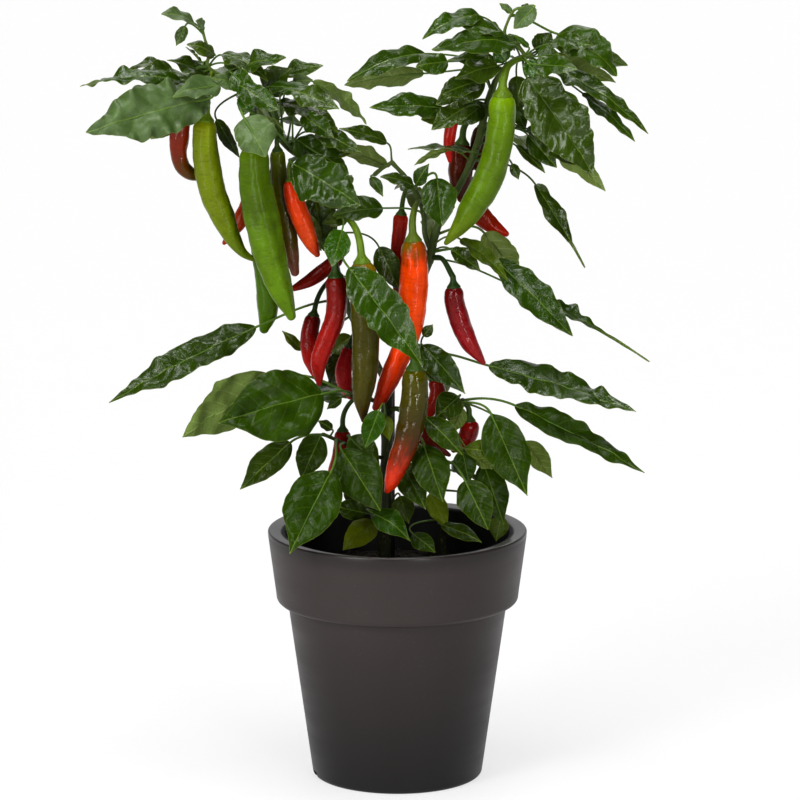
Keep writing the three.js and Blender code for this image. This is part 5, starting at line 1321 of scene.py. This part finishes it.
def soil_piece(look):
    """A lumpy mound with loose crumbs on it, down to a wall that hides in the pot."""
    share = np.linspace(0.006, 1, SOIL_RINGS)[:, None]
    angles = around(SOIL_SIDES)
    x = SOIL_RADIUS * share * np.cos(angles)
    y = SOIL_RADIUS * share * np.sin(angles)
    lumps = 1.5 * ripple(x / 26, y / 26, 3, 6) + 0.8 * ripple(x / 9, y / 9, 4, 7)
    lumps = lumps + 0.5 * ripple(x / 4.2, y / 4.2, 5, 8)
    top = together(x, y, mound(share) + lumps * (1 - step(share, LUMPY_SHARE, 1)) - 0.5)
    wall = together(x[-1] * 0.95, y[-1] * 0.95, SOIL_TOP_Z - SOIL_DEPTH)
    skin = Skin()
    skin.add(np.concatenate([wall[None], top[::-1]]))
    draws = np.random.default_rng(8)
    for _ in range(CRUMB_COUNT):
        far = LUMPY_SHARE * math.sqrt(draws.uniform())
        turn = draws.uniform(0, FULL_TURN)
        size = draws.uniform(*CRUMB_SIZES)
        height = mound(far) + draws.uniform(-0.5, 1.0)
        reach = SOIL_RADIUS * far
        centre = np.array([reach * math.cos(turn), reach * math.sin(turn), height])
        skin.add(crumb(centre, size, draws))
    skin.piece("soil_surface", look, "soil", sharp=180)


def mound(share):
    """Height of the plain soil, at a share of its radius."""
    return SOIL_TOP_Z + SOIL_MOUND * (1 - share**2)


def crumb(centre, size, draws):
    """A small uneven lump."""
    tilt = np.linspace(0.12, math.pi - 0.12, CRUMB_RINGS)[:, None]
    turn = around(CRUMB_SIDES)
    ring = together(np.sin(tilt) * np.cos(turn), np.sin(tilt) * np.sin(turn), -np.cos(tilt))
    uneven = 1 + draws.uniform(-0.22, 0.22, ring.shape[:2])
    stretch = draws.uniform(0.6, 1.2, 3) * np.array([1, 1, 0.7])
    return centre + ring * uneven[..., None] * stretch * size


def stake_piece(look):
    foot, top = sight(STAKE_FOOT), sight(STAKE_TOP)
    axis = unit(top - foot)
    tilts = np.linspace(0.3, 1.5, 6)
    straight = mixed(foot, top - axis * 2, np.linspace(0, 1, STAKE_RINGS)[:, None])
    dome = top - np.outer(2 * (1 - np.sin(tilts)), axis)
    radii = STAKE_RADIUS * np.concatenate([np.ones(STAKE_RINGS), np.cos(tilts * 0.95)])
    skin = Skin()
    skin.add(tube_rings(np.vstack([straight, dome]), radii, STAKE_SIDES))
    skin.piece("stake_rod", look, "stake")


# Floor, light and camera

def floor():
    mesh = bpy.data.meshes.new("floor")
    corners = [(x * FLOOR_REACH, y * FLOOR_REACH, 0) for x, y in ((-1, -1), (1, -1), (1, 1), (-1, 1))]
    mesh.from_pydata(corners, [], [(0, 1, 2, 3)])
    look = Look("floor_look", Specular_IOR_Level=0.1, Emission_Color=colour(WHITE),
                Emission_Strength=FLOOR_GLOW)
    mottle = look.noise(look.place(), 3.0)
    base = look.mix(mottle, colour(0x727272), colour(0x767676))
    look.set(Base_Color=base, Roughness=look.spread(mottle, 0.0, 1.0, 0.8, 0.9))
    mesh.materials.append(look.material)
    placed("floor", mesh)


def studio():
    """A dim room with soft lights in it: each one a round patch of the sky."""
    world = bpy.data.worlds.new("studio")
    world.use_nodes = True
    sky = Nodes(world.node_tree, "Background")
    across, depth, up = sky.split(sky.out("TexCoord", "Generated", {}))
    low = sky.spread(up, *BACK_RISE, BACK_LIGHT, 0.0)
    total = low * sky.spread(depth, *BACK_DEPTH) + ROOM_LIGHT
    for turn, rise, reach, strength in SOFT_LIGHTS:
        turn, rise, reach = map(math.radians, (turn, rise, reach))
        right, away = math.sin(turn) * math.cos(rise), -math.cos(turn) * math.cos(rise)
        near = across * right + depth * away + up * math.sin(rise)
        total = total + sky.spread(near, math.cos(reach * 1.2), math.cos(reach * 0.85), 0.0, strength)
    sky.set(Strength=total, Color=colour(WHITE))
    bpy.context.scene.world = world


def panel(turn, reach, wide, tall, strength):
    """A soft panel of light that stands just above the floor and faces the plant."""
    light = bpy.data.lights.new("panel", "AREA")
    light.shape = "RECTANGLE"
    light.size = wide
    light.size_y = tall
    light.energy = strength * math.pi * wide * tall
    made = placed("panel", light)
    turn = math.radians(turn)
    made.location = (reach * math.sin(turn), -reach * math.cos(turn), tall / 2 + PANEL_FOOT)
    made.rotation_euler = (math.pi / 2, 0, turn)


def camera():
    lens = bpy.data.cameras.new("camera")
    lens.lens = EYE_LENS
    lens.sensor_width = EYE_SENSOR
    lens.clip_end = 200
    made = placed("camera", lens)
    made.location = (EYE_ACROSS * MM, -EYE_DISTANCE * MM, EYE_HEIGHT * MM)
    made.rotation_euler = (math.pi / 2 - EYE_PITCH, 0, 0)
    bpy.context.scene.camera = made


# The object

def plant():
    looks = {
        "leaf": leaf_look("leaf_blade", LEAF_SHINE),
        "low leaf": leaf_look("leaf_low", LOW_LEAF_SHINE),
        "stem": stem_look(),
        "stalk": stalk_look(),
    }
    for node in dict.fromkeys(stem["node"] for stem in STEMS.values()):
        leaves = [row for row in LEAVES if STEMS[row[0]]["node"] == node]
        pods = [row for row in PODS if STEMS[row[2]]["node"] == node]
        stem_pieces(node, leaves, pods, looks)
        if leaves:
            leaf_pieces(node, leaves, looks)
    for row in PODS:
        pod_piece(row, pod_look(row[0]))


camera()
studio()
for row in LIGHT_PANELS:
    panel(*row)
floor()
pot_piece(pot_look())
soil_piece(soil_look())
stake_piece(stake_look())
plant()

bpy.context.scene.view_settings.view_transform = "Standard"
bpy.context.scene.view_settings.gamma = VIEW_GAMMA
